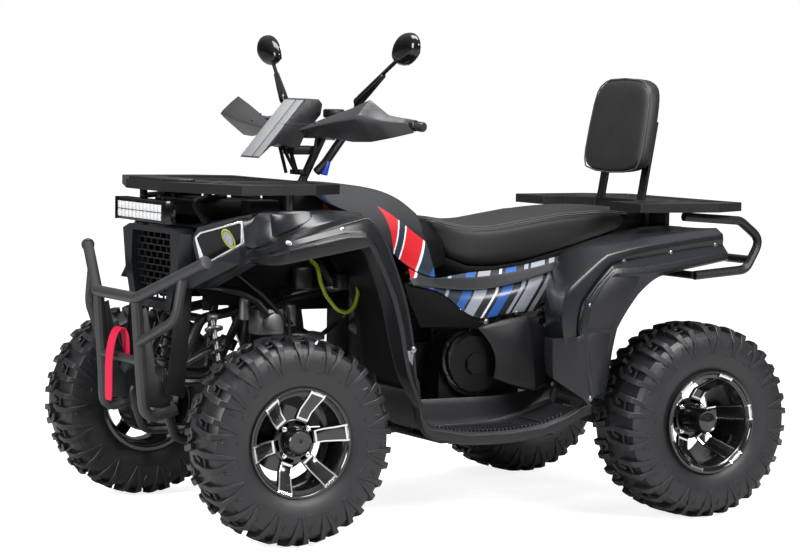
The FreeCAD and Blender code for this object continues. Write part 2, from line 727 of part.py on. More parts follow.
def rear_rack():
    """The rear rack, open in front for the tail of the seat."""
    outline = symmetric([(-495, 346), (-751, 370), (-878, 300)])
    cut_out = symmetric([(-480, 182), (-570, 176), (-640, 120)])
    slats = []
    for y in (-270, -180, -90, 0, 90, 180, 270):
        slats.append((-870, -500, y - RACK_SLAT / 2, y + RACK_SLAT / 2))
    slats.append((-764, -720, -360, 360))
    slats.append((-700, -655, -360, 360))
    deck = rack_deck(outline, REAR_RACK_TOP, slats, cut_out)
    rim = fuse([polygon_prism([Vector(long_x(x), sign * y, REAR_RACK_TOP - RACK_THICKNESS) for x, y in
                               ((-495, 182), (-495, 215), (-575, 205), (-655, 150), (-655, 0), (-640, 0),
                                (-640, 120), (-570, 176))], Vector(0, 0, RACK_THICKNESS))
                for sign in (1, -1)])
    posts = rack_posts(REAR_POSTS, REAR_RACK_TOP - 12)
    return fuse([deck, rim] + posts)


def front_bumper():
    """The tube bumper: top bar, uprights, cross bar and side hoops."""
    r = BUMPER_TUBE_RADIUS
    top = [(883, 398, 730), (961, 137, 622), (961, -137, 622), (883, -398, 730)]
    pieces = [bent_bar(top, r, 45)]
    foot_y = FRAME_Y + FRAME_TUBE_RADIUS + r + 3 * SEAT_GAP
    for sign in (1, -1):
        upright = [(959, 132, 612), (943, 132, 400), (936, foot_y, 296), (846, foot_y, 320)]
        hoop = [(905, 308, 685), (918, 300, 576), (952, 134, 502)]
        pieces.append(bent_bar([(x, y * sign, z) for x, y, z in upright], r, 50))
        pieces.append(bent_bar([(x, y * sign, z) for x, y, z in hoop], r - 2, 60))
        pieces.append(rod(Vector(884, sign * 396, 729), Vector(880, sign * 408, 734), r + 3))
        gusset = [(930, 596), (946, 590), (936, 330), (862, 322), (852, 352), (902, 420), (914, 520)]
        plate = [vec((x, GUSSET_Y * sign, z)) for x, z in gusset]
        pieces.append(polygon_prism(plate, Vector(0, 5 * sign, 0)))
    pieces.append(rod(Vector(946, -132, 452), Vector(946, 132, 452), r - 4))
    return fuse(pieces)


def grab_bar():
    """The rear tube bar with a loop at each side."""
    r = GRAB_TUBE_RADIUS
    under_rack = REAR_RACK_TOP - RACK_THICKNESS - r / math.cos(math.pi / TUBE_SIDES) - SEAT_GAP
    loop = [(-700, 262, under_rack), (-900, 262, 816), (-982, 262, 760), (-925, 262, 672), (-742, 262, 658)]
    pieces = []
    for sign in (1, -1):
        pieces.append(bent_bar([(x, y * sign, z) for x, y, z in loop], r, 40))
    pieces.append(rod(vec((-938, -262, 700)), vec((-938, 262, 700)), r - 1, TUBE_SIDES))
    pieces.append(rod(vec((-742, -262, 658)), vec((-742, 262, 658)), r - 2, TUBE_SIDES))
    return fuse(pieces)


# Body


def front_body():
    """The hood and fender tops, down to the seam with the flares."""
    rows = [
        [(808, 0, 810), (808, 130, 810), (806, 198, 812), (742, 330, 846), (762, 400, 838), (772, 446, 752)],
        [(770, 0, 818), (770, 130, 822), (770, 200, 830), (713, 330, 856), (716, 398, 858), (690, 450, 786)],
        [(650, 0, 826), (640, 130, 836), (630, 200, 844), (600, 330, 862), (600, 398, 863), (600, 452, 806)],
        [(560, 0, 832), (540, 130, 846), (520, 200, 852), (500, 330, 862), (500, 396, 862), (508, 450, 822)],
        [(500, 0, 838), (470, 130, 852), (440, 200, 856), (428, 330, 858), (424, 392, 857), (452, 444, 852)],
    ]
    panel = skin(mirrored_rows(rows), PANEL_WALL, -1)
    holes = []
    for x in FRONT_POSTS:
        for sign in (1, -1):
            low = vec((x, sign * RACK_POST_Y, 700))
            holes.append(rod(low, low + Vector(0, 0, 200), RACK_POST_RADIUS + SEAT_GAP))
    holes.append(rod(COLUMN_FOOT + COLUMN_AXIS * 300, COLUMN_FOOT + COLUMN_AXIS * 600, 52))
    wall = [(802, 810), (770, 824), (635, 838), (530, 847), (455, 852), (428, 700), (476, 640), (640, 596),
            (760, 600), (796, 640)]
    liner = polygon_prism([vec((x, LINER_Y, z)) for x, z in wall], Vector(0, PANEL_WALL, 0))
    return fuse([panel.cut(Part.makeCompound(holes)), liner, mirrored(liner)])


def tank_cover():
    """The humped cover between the bars and the seat."""
    rows = [
        [(410, 0, 930), (418, 60, 924), (430, 120, 893), (424, 200, 872), (420, 322, 855), (418, 386, 849)],
        [(340, 0, 926), (335, 60, 922), (326, 122, 893), (322, 210, 866), (330, 300, 848), (345, 352, 800)],
        [(262, 0, 918), (258, 60, 912), (240, 122, 889), (240, 205, 850), (262, 262, 800), (276, 280, 745)],
        [(187, 0, 908), (184, 56, 902), (186, 118, 876), (188, 190, 820), (196, 226, 752), (200, 236, 700)],
        [(117, 0, 884), (118, 54, 876), (134, 116, 846), (136, 168, 796), (136, 206, 722), (136, 214, 672)],
        [(64, 0, 842), (70, 52, 838), (92, 112, 816), (96, 156, 768), (92, 192, 704), (88, 200, 664)],
    ]
    notch = rod(COLUMN_FOOT + COLUMN_AXIS * 420, COLUMN_FOOT + COLUMN_AXIS * 640, 42)
    foot = block(240, 262, 104, 116, UPPER_RAIL_Z + RAIL_TOP + SEAT_GAP, 889)
    return fuse([skin(mirrored_rows(rows), PANEL_WALL, -1).cut(notch), foot, mirrored(foot)])


def seat():
    """The long saddle, its sections level across the machine."""
    stations = [
        (56, 96, 832, 820, 770), (10, 128, 824, 804, 708), (-50, 152, 815, 792, 684),
        (-130, 160, 815, 795, SEAT_LOW_Z), (-230, 164, 828, 811, 694), (-340, 164, 848, 828, 722),
        (-480, 158, 857, 836, 758), (-600, 118, 850, 828, 792), (-632, 96, 842, 826, 806),
    ]
    sections = []
    for x, half, crown, edge, low in stations:
        left = [(half * 0.55, crown - 3), (half * 0.9, edge + 2), (half, edge - 14), (half * 0.97, low)]
        right = [(-y, z) for y, z in reversed(left)]
        sections.append([(x, y, z) for y, z in [(0, crown)] + left + right])
    return section_loft(sections)


def side_panel():
    """The lower side cover between the tank cover and the rear fender."""
    rows = [
        [(196, 240, 694), (188, 246, 650), (150, 246, 640)],
        [(132, 217, 666), (110, 240, 640), (86, 242, 628)],
        [(84, 203, 658), (60, 238, 620), (20, 240, 568)],
        [(-10, 186, 674), (-10, 236, 612), (-35, 240, 545)],
        [(-90, 182, 676), (-90, 236, 620), (-92, 240, 556)],
        [(-211, 182, 690), (-200, 236, 640), (-160, 240, 566)],
        [(-330, 180, 716), (-290, 230, 670), (-225, 238, 565)],
    ]
    peg = rod(Vector(long_x(-90), FRAME_Y + FRAME_TUBE_RADIUS + SEAT_GAP, UPPER_RAIL_Z),
              Vector(long_x(-90), 215, UPPER_RAIL_Z), 6)
    return fuse([skin(rows, PANEL_WALL, -1), peg])


def front_flare():
    """The black wheel arch from its front tip down to the footboard."""
    rows = [
        [(870, 446, 728), (878, 500, 722), (872, 512, 706), (860, 470, 700)],
        [(772, 446.3, 752), (790, 520, 744), (800, 546, 722), (790, 500, 716)],
        [(690, 450.3, 786), (700, 520, 778), (712, 550, 744), (712, 505, 734)],
        [(600, 452.3, 806), (600, 520, 800), (600, 551, 768), (604, 505, 756)],
        [(508, 450.3, 822), (505, 520, 820), (500, 551, 790), (520, 505, 772)],
        [(452, 444.3, 852), (436, 520, 838), (428, 551, 770), (452, 505, 744)],
        [(400, 440, 800), (388, 516, 760), (398, 548, 700), (444, 502, 676)],
        [(352, 430, 700), (348, 510, 660), (364, 544, 606), (432, 498, 590)],
        [(318, 420, 600), (318, 506, 560), (338, 538, 520), (396, 494, 500)],
        [(300, 400, 470), (300, 500, 450), (316, 530, 430), (348, 486, 410)],
        [(262, 380, 342), (272, 500, 342), (286, 528, 342), (296, 484, 344)],
    ]
    return skin(rows, FLARE_WALL, -1)


def rear_fender():
    """The left rear fender: its top, its outer lip and the leg down to the footboard."""
    rows = [
        [(-706, 160, 800), (-700, 330, 800), (-684, 452, 806), (-672, 500, 792), (-690, 512, 734)],
        [(-620, 172, 800), (-620, 330, 796), (-610, 450, 797), (-596, 500, 786), (-594, 514, 716)],
        [(-500, 172, 776), (-500, 330, 786), (-500, 448, 786), (-496, 500, 774), (-490, 514, 694)],
        [(-400, 174, 752), (-390, 330, 774), (-385, 446, 776), (-380, 500, 762), (-420, 514, 672)],
        [(-330, 186, 726), (-310, 330, 752), (-300, 444, 756), (-285, 498, 740), (-372, 514, 624)],
        [(-268, 236, 676), (-240, 330, 700), (-222, 440, 704), (-200, 496, 700), (-330, 512, 560)],
        [(-244, 244, 620), (-210, 330, 630), (-180, 436, 636), (-160, 492, 640), (-306, 508, 500)],
        [(-244, 244, 560), (-200, 330, 560), (-166, 436, 560), (-142, 490, 560), (-296, 504, 440)],
        [(-256, 244, 440), (-214, 330, 440), (-190, 436, 440), (-176, 488, 440), (-292, 500, 380)],
        [(-272, 244, 350), (-240, 330, 350), (-222, 436, 350), (-214, 486, 350), (-286, 496, 336)],
    ]
    return skin(rows, PANEL_WALL)


def rear_body():
    """Both rear fenders with the deck under the seat's tail that joins them."""
    rows = [
        [(-776, 0, 792), (-774, 140, 794), (-706, 174, 799)],
        [(-640, 0, 784), (-640, 140, 788), (-640, 184, 799)],
        [(-600, 0, 776), (-600, 140, 780), (-600, 184, 796)],
    ]
    holes = []
    for x in REAR_POSTS:
        for y in (RACK_POST_Y, -RACK_POST_Y):
            low = vec((x, y, 700))
            holes.append(rod(low, low + Vector(0, 0, 150), RACK_POST_RADIUS + SEAT_GAP))
    back = skin(mirrored_rows([[(-776, 0, 792), (-774, 140, 794)], [(-790, 0, 690), (-788, 180, 690)]]),
                PANEL_WALL, -1)
    fender = rear_fender()
    whole = fuse([skin(mirrored_rows(rows), PANEL_WALL), back, fender, mirrored(fender)])
    return whole.cut(Part.makeCompound(holes))


def tail_light():
    """A lamp on the back of the fender."""
    return block(-704, -684, 352, 440, 742, 795)


def footwell():
    """The footboard tray with its toothed peg."""
    floor = polygon_prism([vec((x, y, 270)) for x, y in
                           ((284, 226), (284, 540), (236, 545), (-10, 545), (-196, 500), (-224, 470),
                            (-224, 226))], Vector(0, 0, 8))
    lip = polygon_prism([vec((x, y, 254)) for x, y in
                         ((290, 534), (290, 545), (236, 551), (-10, 551), (-202, 506), (-202, 494),
                          (-12, 538), (236, 538))], Vector(0, 0, 40))
    front = polygon_prism([vec((284, 226, 270)), vec((284, 540, 270)), vec((300, 520, 334)),
                           vec((300, 240, 334))], Vector(-8, 0, 0))
    rear = polygon_prism([vec((-216, 226, 270)), vec((-216, 480, 270)), vec((-232, 480, 330)),
                          vec((-232, 240, 330))], Vector(8, 0, 0))
    pieces = [floor, lip, front, rear]
    for k in range(5):
        x = 20 - 44 * k
        tooth = polygon_prism([vec((x, 330, 277)), vec((x + 16, 330, 277)), vec((x + 8, 330, 298))],
                              Vector(0, 190, 0))
        pieces.append(tooth)
    return fuse(pieces)


LAMP_BACK = Vector(-60, -24, 0)


def lamp_corners():
    """The lens corners: inner top, outer top, outer bottom, inner bottom."""
    return [Vector(824, 206, 788), Vector(744, 330, 836), Vector(740, 330, 768), Vector(792, 222, 706)]


def grille_surround():
    """The six-sided nose frame with its angled side walls."""
    x_face = 862
    outer = [(0, 806), (150, 806), (196, 792), (176, 690), (132, 584), (0, 584)]
    inner = [(0, 790), (128, 790), (134, 700), (100, 606), (0, 606)]
    outline = [(y, z) for y, z in outer] + [(-y, z) for y, z in reversed(outer) if y > 0]
    hole = [(y, z) for y, z in inner] + [(-y, z) for y, z in reversed(inner) if y > 0]
    shell = polygon_prism([Vector(x_face - 50, y, z) for y, z in outline], Vector(50, 0, 0))
    cavity = polygon_prism([Vector(x_face - 60, y, z) for y, z in hole], Vector(70, 0, 0))
    inward = [(760, 170, 704), (836, 170, 704), (846, 170, 652), (790, 170, 652)]
    corner = [(744, 238, 730), (812, 238, 730), (850, 238, 652), (780, 238, 652)]
    outward = [(690, 336, 790), (752, 336, 790), (756, 336, 722), (700, 336, 722)]
    under_lamp = section_loft([inward, corner, outward])
    low = lamp_corners()
    normal = (low[3] - low[2]).cross(LAMP_BACK).normalize()
    down = normal if normal.z < 0 else normal * -1
    middle = (low[2] + low[3]) * 0.5 + down * SEAT_GAP
    along = (low[3] - low[2]).normalize() * 300
    across = down.cross(along).normalize() * 300
    above = polygon_prism([middle - along - across, middle + along - across, middle + along + across,
                           middle - along + across], down * -300)
    under_lamp = under_lamp.cut(above)
    shelf = block(785, x_face - 44, -150, 150, 799, 805.7)
    return fuse([shell, shelf, under_lamp, mirrored(under_lamp)]).cut(cavity)


def grille():
    """The mesh: a plate with rows of staggered windows."""
    x = 838
    half = [(0, 789.5), (127.5, 789.5), (133.5, 700), (99.5, 606.5), (0, 606.5)]
    outline = [(y, z) for y, z in half] + [(-y, z) for y, z in reversed(half) if y > 0]
    plate = polygon_prism([Vector(x, y, z) for y, z in outline], Vector(4, 0, 0))
    pitch_y = 48.0
    pitch_z = 34.5
    windows = []
    for row in range(5):
        z = 614 + pitch_z * row
        shift = pitch_y / 2 * (row % 2)
        reach = 94 if z < 640 else 120
        for col in range(-4, 4):
            y0 = max(pitch_y * col + shift, -reach)
            y1 = min(pitch_y * (col + 1) + shift - 6, reach)
            if y1 - y0 > 12:
                windows.append(block(x - 1, x + 5, y0, y1, z, z + pitch_z - 6))
    return plate.cut(Part.makeCompound(windows))


def headlight():
    """A headlamp: a wedge-shaped housing behind its lens."""
    face = lamp_corners()
    moved = [p + LAMP_BACK for p in face]
    faces = [triangle(face[0], face[1], face[2]), triangle(face[0], face[2], face[3])]
    faces += [triangle(moved[0], moved[2], moved[1]), triangle(moved[0], moved[3], moved[2])]
    for j in range(4):
        n = (j + 1) % 4
        faces += patch(face[j], moved[j], moved[n], face[n])
    return closed_solid(faces)


def light_bar():
    """The lamp bar under the rack's front edge, on two brackets."""
    box = block(862, 898, -166, 166, 818, 880)
    lens = block(898, 901, -152, 152, 826, 870)
    brackets = []
    for sign in (1, -1):
        rack_low = FRONT_RACK_TOP - RACK_THICKNESS
        brackets.append(block(852, 866, sign * 60 - 12, sign * 60 + 12, 874, rack_low - SEAT_GAP))
    return fuse([box, lens] + brackets)


# Engine, drive and rear suspension

def engine():
    """The engine: crankcase, cylinder and its left cover."""
    case = block(-210, 150, -84, 84, FLOOR_Z, 470)
    cylinder = block(20, 150, -62, 62, 465, 600)
    cover_foot = Vector(COVER_CENTRE.x, 80, COVER_CENTRE.z)
    cover_back = rod(cover_foot, COVER_CENTRE - Vector(0, 14, 0), COVER_RADIUS, 16)
    cover_face = rod(COVER_CENTRE - Vector(0, 15, 0), COVER_CENTRE, COVER_RADIUS - 12, 16)
    boss = rod(COVER_CENTRE - Vector(0, 1, 0), COVER_CENTRE + Vector(0, 10, 0), 28)
    side = block(-200, 60, 80, 180, 300, 400)
    return fuse([case, cylinder, cover_back, cover_face, boss, side])


def battery_box():
    """The box on the lower rails ahead of the engine, under its strapped lid."""
    low = LOWER_RAIL_Z + RAIL_TOP + SEAT_GAP
    box = section_loft([[(x0, -y, z), (x1, -y, z), (x1, y, z), (x0, y, z)]
                        for x0, x1, y, z in ((342, 528, 112, low), (336, 534, 118, 404))])
    lid = block(330, 540, -122, 122, 403, 424)
    strap = block(424, 446, -124, 124, 420, 427)
    return fuse([box, lid, strap])


def exhaust():
    """The silencer and its pipe on the right."""
    pipe = bent_bar([(150.5, -30, 540), (230, -30, 540), (230, -168, 520), (-60, -178, 500),
                     (-340, -190, 520)], 15, 45)
    can = rod(vec((-330, -190, 520)), vec((-640, -205, 600)), 46)
    tail = rod(vec((-630, -204.5, 597.5)), vec((-690, -207.5, 613)), 16)
    return fuse([pipe, can, tail])


SWING_PIVOT_X = -366.0
SWING_PIVOT_Z = 330.0
SHOCK_SHARE = 0.65
SHOCK_RISE = 98.0
ARM_AT_SHOCK = SWING_PIVOT_Z + SHOCK_SHARE * (AXLE_Z + 3 - SWING_PIVOT_Z)


def shock_foot():
    """The rear shock's lower eye, above the cross bar of the arm."""
    pivot_x = long_x(SWING_PIVOT_X)
    return Vector(pivot_x + SHOCK_SHARE * (REAR_AXLE_X + 24 - pivot_x), 0, ARM_AT_SHOCK + SHOCK_RISE)


def swingarm():
    """The rear arm with the axle housing and final drive."""
    inner = REAR_AXLE_RADIUS + RUNNING_GAP
    profile = [(-200, 0.01), (-200, 34), (-60, 34), (-40, 72), (30, 72), (50, 34), (200, 34), (200, 0.01)]
    housing = ring(profile, ROUND_SIDES, 180.0 / ROUND_SIDES)
    housing.translate(Vector(REAR_AXLE_X, 0, AXLE_Z))
    pivot_end = FRAME_Y - FRAME_TUBE_RADIUS - SEAT_GAP
    pivot = Vector(long_x(SWING_PIVOT_X), 0, SWING_PIVOT_Z)
    foot = shock_foot()
    tube = rod(pivot - Vector(0, pivot_end, 0), pivot + Vector(0, pivot_end, 0), 16)
    arms = []
    for y in (-68, 68):
        arms.append(rod(pivot + Vector(0, y, 0), Vector(REAR_AXLE_X + 24, y, AXLE_Z + 3), 12))
    bore = round_rod(Vector(REAR_AXLE_X, -210, AXLE_Z), Vector(REAR_AXLE_X, 210, AXLE_Z), inner)
    cross = Part.makeBox(24, 136, 24, Vector(foot.x - 12, -68, ARM_AT_SHOCK - 12))
    lug_up = Part.makeBox(24, 24, SHOCK_RISE - 12 - SEAT_GAP, Vector(foot.x - 12, -12, ARM_AT_SHOCK))
    return fuse([tube, housing, cross, lug_up] + arms).cut(bore)


def rear_shock():
    """The single rear spring and damper unit."""
    reach = (FRAME_TUBE_RADIUS - 2) / math.cos(math.pi / TUBE_SIDES) + SEAT_GAP + 12
    top = Vector(long_x(REAR_LOOP_X + 20) - reach, 0, UPPER_RAIL_Z)
    return shock(shock_foot(), top, 30)


def shocks():
    """The three spring and damper units."""
    front = front_shock()
    return Part.makeCompound([front, mirrored(front), rear_shock()])


BACKREST_X = -604.0
BACKREST_DEPTH = 60.0
BACKREST_LOW = 960.0
BACKREST_LEAN = 0.18
POST_RISE = 228.0


def backrest_pad():
    """The padded back: a rounded slab, narrower at the top."""
    outline = [(-140, 960), (-156, 1010), (-150, 1150), (-128, 1206), (-80, 1226), (0, 1230),
               (80, 1226), (128, 1206), (150, 1150), (156, 1010), (140, 960), (0, 946)]
    sections = []
    for depth, shrink in ((0, 0.9), (14, 1.0), (44, 1.0), (BACKREST_DEPTH, 0.92)):
        points = []
        for y, z in outline:
            zc = 1088 + (z - 1088) * shrink
            lean = (zc - BACKREST_LOW) * BACKREST_LEAN
            points.append(Vector(long_x(BACKREST_X) - depth - lean, y * shrink, zc))
        sections.append(points)
    return section_loft(sections)


def backrest_frame():
    """Two flat posts from the rear rack to the pad."""
    posts = []
    for sign in (1, -1):
        foot = REAR_RACK_TOP + SEAT_GAP
        front = long_x(BACKREST_X) - BACKREST_DEPTH - SEAT_GAP - (foot - BACKREST_LOW) * BACKREST_LEAN
        corners = [(front, -18), (front, 18), (front - 8, 18), (front - 8, -18)]
        post = polygon_prism([Vector(x, sign * 108 + y, foot) for x, y in corners],
                             Vector(-POST_RISE * BACKREST_LEAN, 0, POST_RISE))
        posts.append(post)
    return Part.makeCompound(posts)


def tow_strap():
    """The folded webbing loop over the bumper's cross bar."""
    outline = [
        (929.7, 440), (929.7, 500), (936, 525), (950, 535), (961, 528), (971, 500), (974.5, 452), (973, 420),
        (969, 330), (965, 330), (969, 420), (970.5, 452), (967, 498), (958, 524), (950, 530), (940, 521),
        (933.7, 498), (933.7, 440),
    ]
    return polygon_prism([Vector(x, -22, z) for x, z in outline], Vector(0, 45, 0))


def write(name, shape):
    """Write one piece to its own file."""
    shape.exportStep(os.path.join(PARTS, name + ".step"))
    print(name, len(shape.Solids), round(shape.Volume / 1e3, 1), "cm3", "" if shape.isValid() else "INVALID")


def pieces():
    """Every node's name and shape."""
    front_tyre = tyre(FRONT_TYRE_WIDTH)
    rear_tyre = tyre(REAR_TYRE_WIDTH)
    front_wheel = front_rim()
    rear_wheel = rear_rim()
    yield "frame", frame()
    yield "front_bumper", front_bumper()
    yield "front_rack", front_rack()
    yield "rear_rack", rear_rack()
    yield "grab_bar", grab_bar()
    yield "front_body", front_body()
    yield "tank_cover", tank_cover()
    yield "seat", seat()
    yield "side_panels", both_sides(side_panel())
    yield "front_flares", both_sides(front_flare())
    yield "rear_body", rear_body()
    yield "tail_lights", both_sides(tail_light())
    yield "footwells", both_sides(footwell())
    yield "grille_surround", grille_surround()
    yield "grille", grille()
    yield "headlights", both_sides(headlight())
    yield "light_bar", light_bar()
    yield "engine", engine()
    yield "battery_box", battery_box()
    yield "exhaust", exhaust()
    yield "swingarm", swingarm()
    yield "shocks", shocks()
    yield "front_arms", front_arms()
    yield "backrest_pad", backrest_pad()
    yield "backrest_frame", backrest_frame()
    yield "tow_strap", tow_strap()
    yield "steering_column", steering_column()
    yield "handlebar", handlebar()
    yield "grips_levers", both_sides(grips_levers())
    yield "mirrors", both_sides(mirror())
    yield "hand_guards", both_sides(hand_guard())
    yield "instrument_pod", instrument_pod()
    yield "rear_axle", rear_axle()
    for name, side in (("left", 1), ("right", -1)):
        yield "knuckle_" + name, knuckle(side)
        yield "tie_rod_" + name, tie_rod(side)
        turn = (lambda s: s) if side > 0 else mirrored
        yield "tyre_front_" + name, turn(placed(front_tyre, FRONT_AXLE_X, FRONT_HALF_TRACK))
        yield "rim_front_" + name, turn(placed(front_wheel, FRONT_AXLE_X, FRONT_HALF_TRACK))
        yield "tyre_rear_" + name, turn(placed(rear_tyre, REAR_AXLE_X, REAR_HALF_TRACK))
        yield "rim_rear_" + name, turn(placed(rear_wheel, REAR_AXLE_X, REAR_HALF_TRACK))


os.makedirs(PARTS, exist_ok=True)
for node, solid in pieces():
    write(node, solid)
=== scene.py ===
# %% [markdown]
# # A utility quad bike, dressed piece by piece
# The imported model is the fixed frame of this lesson: its bodies and joints stay as they are.
# Every visible form is modelled over it in metres, and each piece rides on one of its bodies.
# The helpers below take millimetres, because the machine's own sizes are easier to read that way.

# %% Load the frame
import bpy
import math
from mathutils import Matrix, Vector


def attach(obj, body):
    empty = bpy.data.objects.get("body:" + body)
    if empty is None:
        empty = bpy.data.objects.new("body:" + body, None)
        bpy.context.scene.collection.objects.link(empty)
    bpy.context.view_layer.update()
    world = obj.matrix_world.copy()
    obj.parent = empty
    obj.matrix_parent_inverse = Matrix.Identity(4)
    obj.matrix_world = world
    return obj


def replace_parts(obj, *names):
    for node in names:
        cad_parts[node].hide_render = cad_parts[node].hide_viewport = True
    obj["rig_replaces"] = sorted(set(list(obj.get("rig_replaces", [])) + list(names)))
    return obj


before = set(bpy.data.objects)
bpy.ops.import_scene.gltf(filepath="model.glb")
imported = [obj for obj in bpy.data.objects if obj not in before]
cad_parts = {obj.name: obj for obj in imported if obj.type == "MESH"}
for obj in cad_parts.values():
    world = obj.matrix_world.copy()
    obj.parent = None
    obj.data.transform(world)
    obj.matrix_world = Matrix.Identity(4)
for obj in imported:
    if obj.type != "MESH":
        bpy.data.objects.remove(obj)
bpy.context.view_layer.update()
bpy.ops.object.select_all(action="DESELECT")

# %% [markdown]
# ## Camera
# The photograph was taken from the front left with a long lens, so lines hardly converge.
# The camera's place and turn were solved from points of known size: wheels, rims and axles.

# %% Camera
YAW, PITCH, ROLL = -2.0705, 0.0722, 0.0163
CAMERA_PLACE = (3.7916, 6.7792, 1.2014)
LENS_MM, SENSOR_MM = 122.27, 36
look = Vector((math.cos(YAW) * math.cos(PITCH), math.sin(YAW) * math.cos(PITCH), -math.sin(PITCH)))
side = look.cross(Vector((0, 0, 1))).normalized()
above = side.cross(look)
right = side * math.cos(ROLL) + above * math.sin(ROLL)
top = above * math.cos(ROLL) - side * math.sin(ROLL)
camera_data = bpy.data.cameras.new("camera")
camera_data.lens = LENS_MM
camera_data.sensor_width = SENSOR_MM
camera = bpy.data.objects.new("camera", camera_data)
bpy.context.scene.collection.objects.link(camera)
turn = Matrix((right, top, -look)).transposed().to_4x4()
camera.matrix_world = Matrix.Translation(CAMERA_PLACE) @ turn
bpy.context.scene.camera = camera
bpy.context.scene.view_settings.view_transform = "Standard"
print("camera at", tuple(round(c, 2) for c in camera.location))

# %% [markdown]
# ## Studio
# A pale floor and soft lamps. Only the camera sees the world as white. The light that it sheds is
# dim at the horizon and brighter overhead, so dark plastic keeps its depth and still shows a sheen.
# Shader nodes are added by one helper, which sets or links their inputs by name.

# %% Shader nodes
def add_node(tree, kind, inputs=None, **settings):
    """A new shader node; each input takes a number, a colour or the socket that feeds it."""
    node = tree.nodes.new("ShaderNode" + kind)
    for name, value in settings.items():
        setattr(node, name, value)
    for name, value in (inputs or {}).items():
        if isinstance(value, bpy.types.NodeSocket):
            tree.links.new(value, node.inputs[name])
        else:
            node.inputs[name].default_value = value
    return node


def maths(tree, operation, *values):
    """The result of a maths node for numbers or sockets."""
    return add_node(tree, "Math", dict(enumerate(values)), operation=operation).outputs[0]


def first_node(tree, kind):
    return next(node for node in tree.nodes if node.type == kind)


print("node helpers ready")

# %% World
def world_light(low, high):
    """White to the camera; for everything else dim at the horizon and brighter overhead."""
    world = bpy.data.worlds.new("studio")
    bpy.context.scene.world = world
    world.use_nodes = True
    tree = world.node_tree
    path = add_node(tree, "LightPath")
    seen = maths(tree, "MAXIMUM", path.outputs["Is Camera Ray"], path.outputs["Is Transmission Ray"])
    place = add_node(tree, "TexCoord").outputs["Generated"]
    upward = add_node(tree, "SeparateXYZ", {"Vector": place}).outputs["Z"]
    sky = add_node(tree, "MapRange", {"Value": upward, "From Min": 0.05, "From Max": 0.75, "To Min": low,
                                      "To Max": high})
    glow = add_node(tree, "Mix", {"Factor": seen, "A": sky.outputs["Result"], "B": 1.0})
    background = tree.nodes["Background"]
    background.inputs["Color"].default_value = (1, 1, 1, 1)
    tree.links.new(glow.outputs["Result"], background.inputs["Strength"])


world_light(0.05, 0.50)
print("world ready")

# %% Floor
bpy.ops.mesh.primitive_plane_add(size=60, location=(0, 0, -0.001))
floor = bpy.context.object
floor.name = "floor"
floor_paint = bpy.data.materials.new("floor_paint")
floor_paint.use_nodes = True
floor_tree = floor_paint.node_tree
floor_shader = floor_tree.nodes["Principled BSDF"]
for socket, value in (("Base Color", (0.62, 0.62, 0.62, 1)), ("Roughness", 0.7), ("Specular IOR Level", 0.0),
                      ("Emission Color", (1, 1, 1, 1))):
    floor_shader.inputs[socket].default_value = value
floor_path = add_node(floor_tree, "LightPath")
floor_glow = maths(floor_tree, "MULTIPLY", floor_path.outputs["Is Camera Ray"], 0.84)
floor_tree.links.new(floor_glow, floor_shader.inputs["Emission Strength"])
floor.data.materials.append(floor_paint)
print("floor ready")

# %% Lamps
def softbox(name, place, target, width, height, power):
    lamp = bpy.data.lights.new(name, "AREA")
    lamp.shape = "RECTANGLE"
    lamp.size = width
    lamp.size_y = height
    lamp.energy = power
    holder = bpy.data.objects.new(name, lamp)
    bpy.context.scene.collection.objects.link(holder)
    holder.location = place
    holder.rotation_euler = (Vector(target) - Vector(place)).to_track_quat("-Z", "Y").to_euler()


softbox("top_box", (0.3, 0.4, 3.4), (0, 0, 0.5), 2.6, 1.4, 150)
softbox("left_box", (-1.2, 4.4, 2.6), (0, 0, 0.6), 2.2, 0.9, 160)
softbox("front_box", (4.4, 1.2, 2.0), (0.4, 0, 0.5), 1.2, 1.8, 120)
print("three soft boxes")

# %% [markdown]
# ## Helpers for modelling
# Sheet steel, mouldings, tubes and castings repeat all over the machine, so each gets one helper.
# A helper starts from a Blender primitive, shapes it in edit mode and finishes it with applied
# modifiers. Sizes are in millimetres. Left pieces are mirrored to make the right ones.

# %% Basic helpers
MM = 0.001


def point(p):
    return Vector(p) * MM


def select_only(*pieces):
    bpy.ops.object.select_all(action="DESELECT")
    for piece in pieces:
        piece.select_set(True)
    bpy.context.view_layer.objects.active = pieces[0]


def edit(*steps):
    """Run edit mode operators on the whole active piece."""
    bpy.ops.object.mode_set(mode="EDIT")
    bpy.ops.mesh.select_all(action="SELECT")
    for step, words in steps:
        step(**words)
    bpy.ops.object.mode_set(mode="OBJECT")


def outward(piece):
    """Merge doubles and turn every face outwards."""
    select_only(piece)
    edit((bpy.ops.mesh.remove_doubles, {"threshold": 1e-6}),
         (bpy.ops.mesh.normals_make_consistent, {"inside": False}))
    return piece


def primitive(add, corners=(), **words):
    """Add a primitive and move its vertices to the corners given."""
    bpy.ops.object.select_all(action="DESELECT")
    add(**words)
    piece = bpy.context.object
    for vertex, p in zip(piece.data.vertices, corners):
        vertex.co = point(p)
    return piece


print("basic helpers ready")

# %% Sheets, plates and turned forms
def sheet_of(rows):
    """A grid whose vertices lie on rows of points."""
    return primitive(bpy.ops.mesh.primitive_grid_add, [p for row in rows for p in row],
                     x_subdivisions=len(rows[0]) - 1, y_subdivisions=len(rows) - 1)


def raised(piece, offsets):
    """Extrude a piece; each vertex goes its own way."""
    count = len(piece.data.vertices)
    edit((bpy.ops.mesh.extrude_region_move, {}))
    for k in range(count):
        vertex = piece.data.vertices[count + k]
        vertex.co = piece.data.vertices[k].co + point(offsets[k])
    return outward(piece)


def plate_face(outline):
    return primitive(bpy.ops.mesh.primitive_circle_add, outline, vertices=len(outline), fill_type="NGON")


def plate(outline, depth):
    return raised(plate_face(outline), [depth] * len(outline))


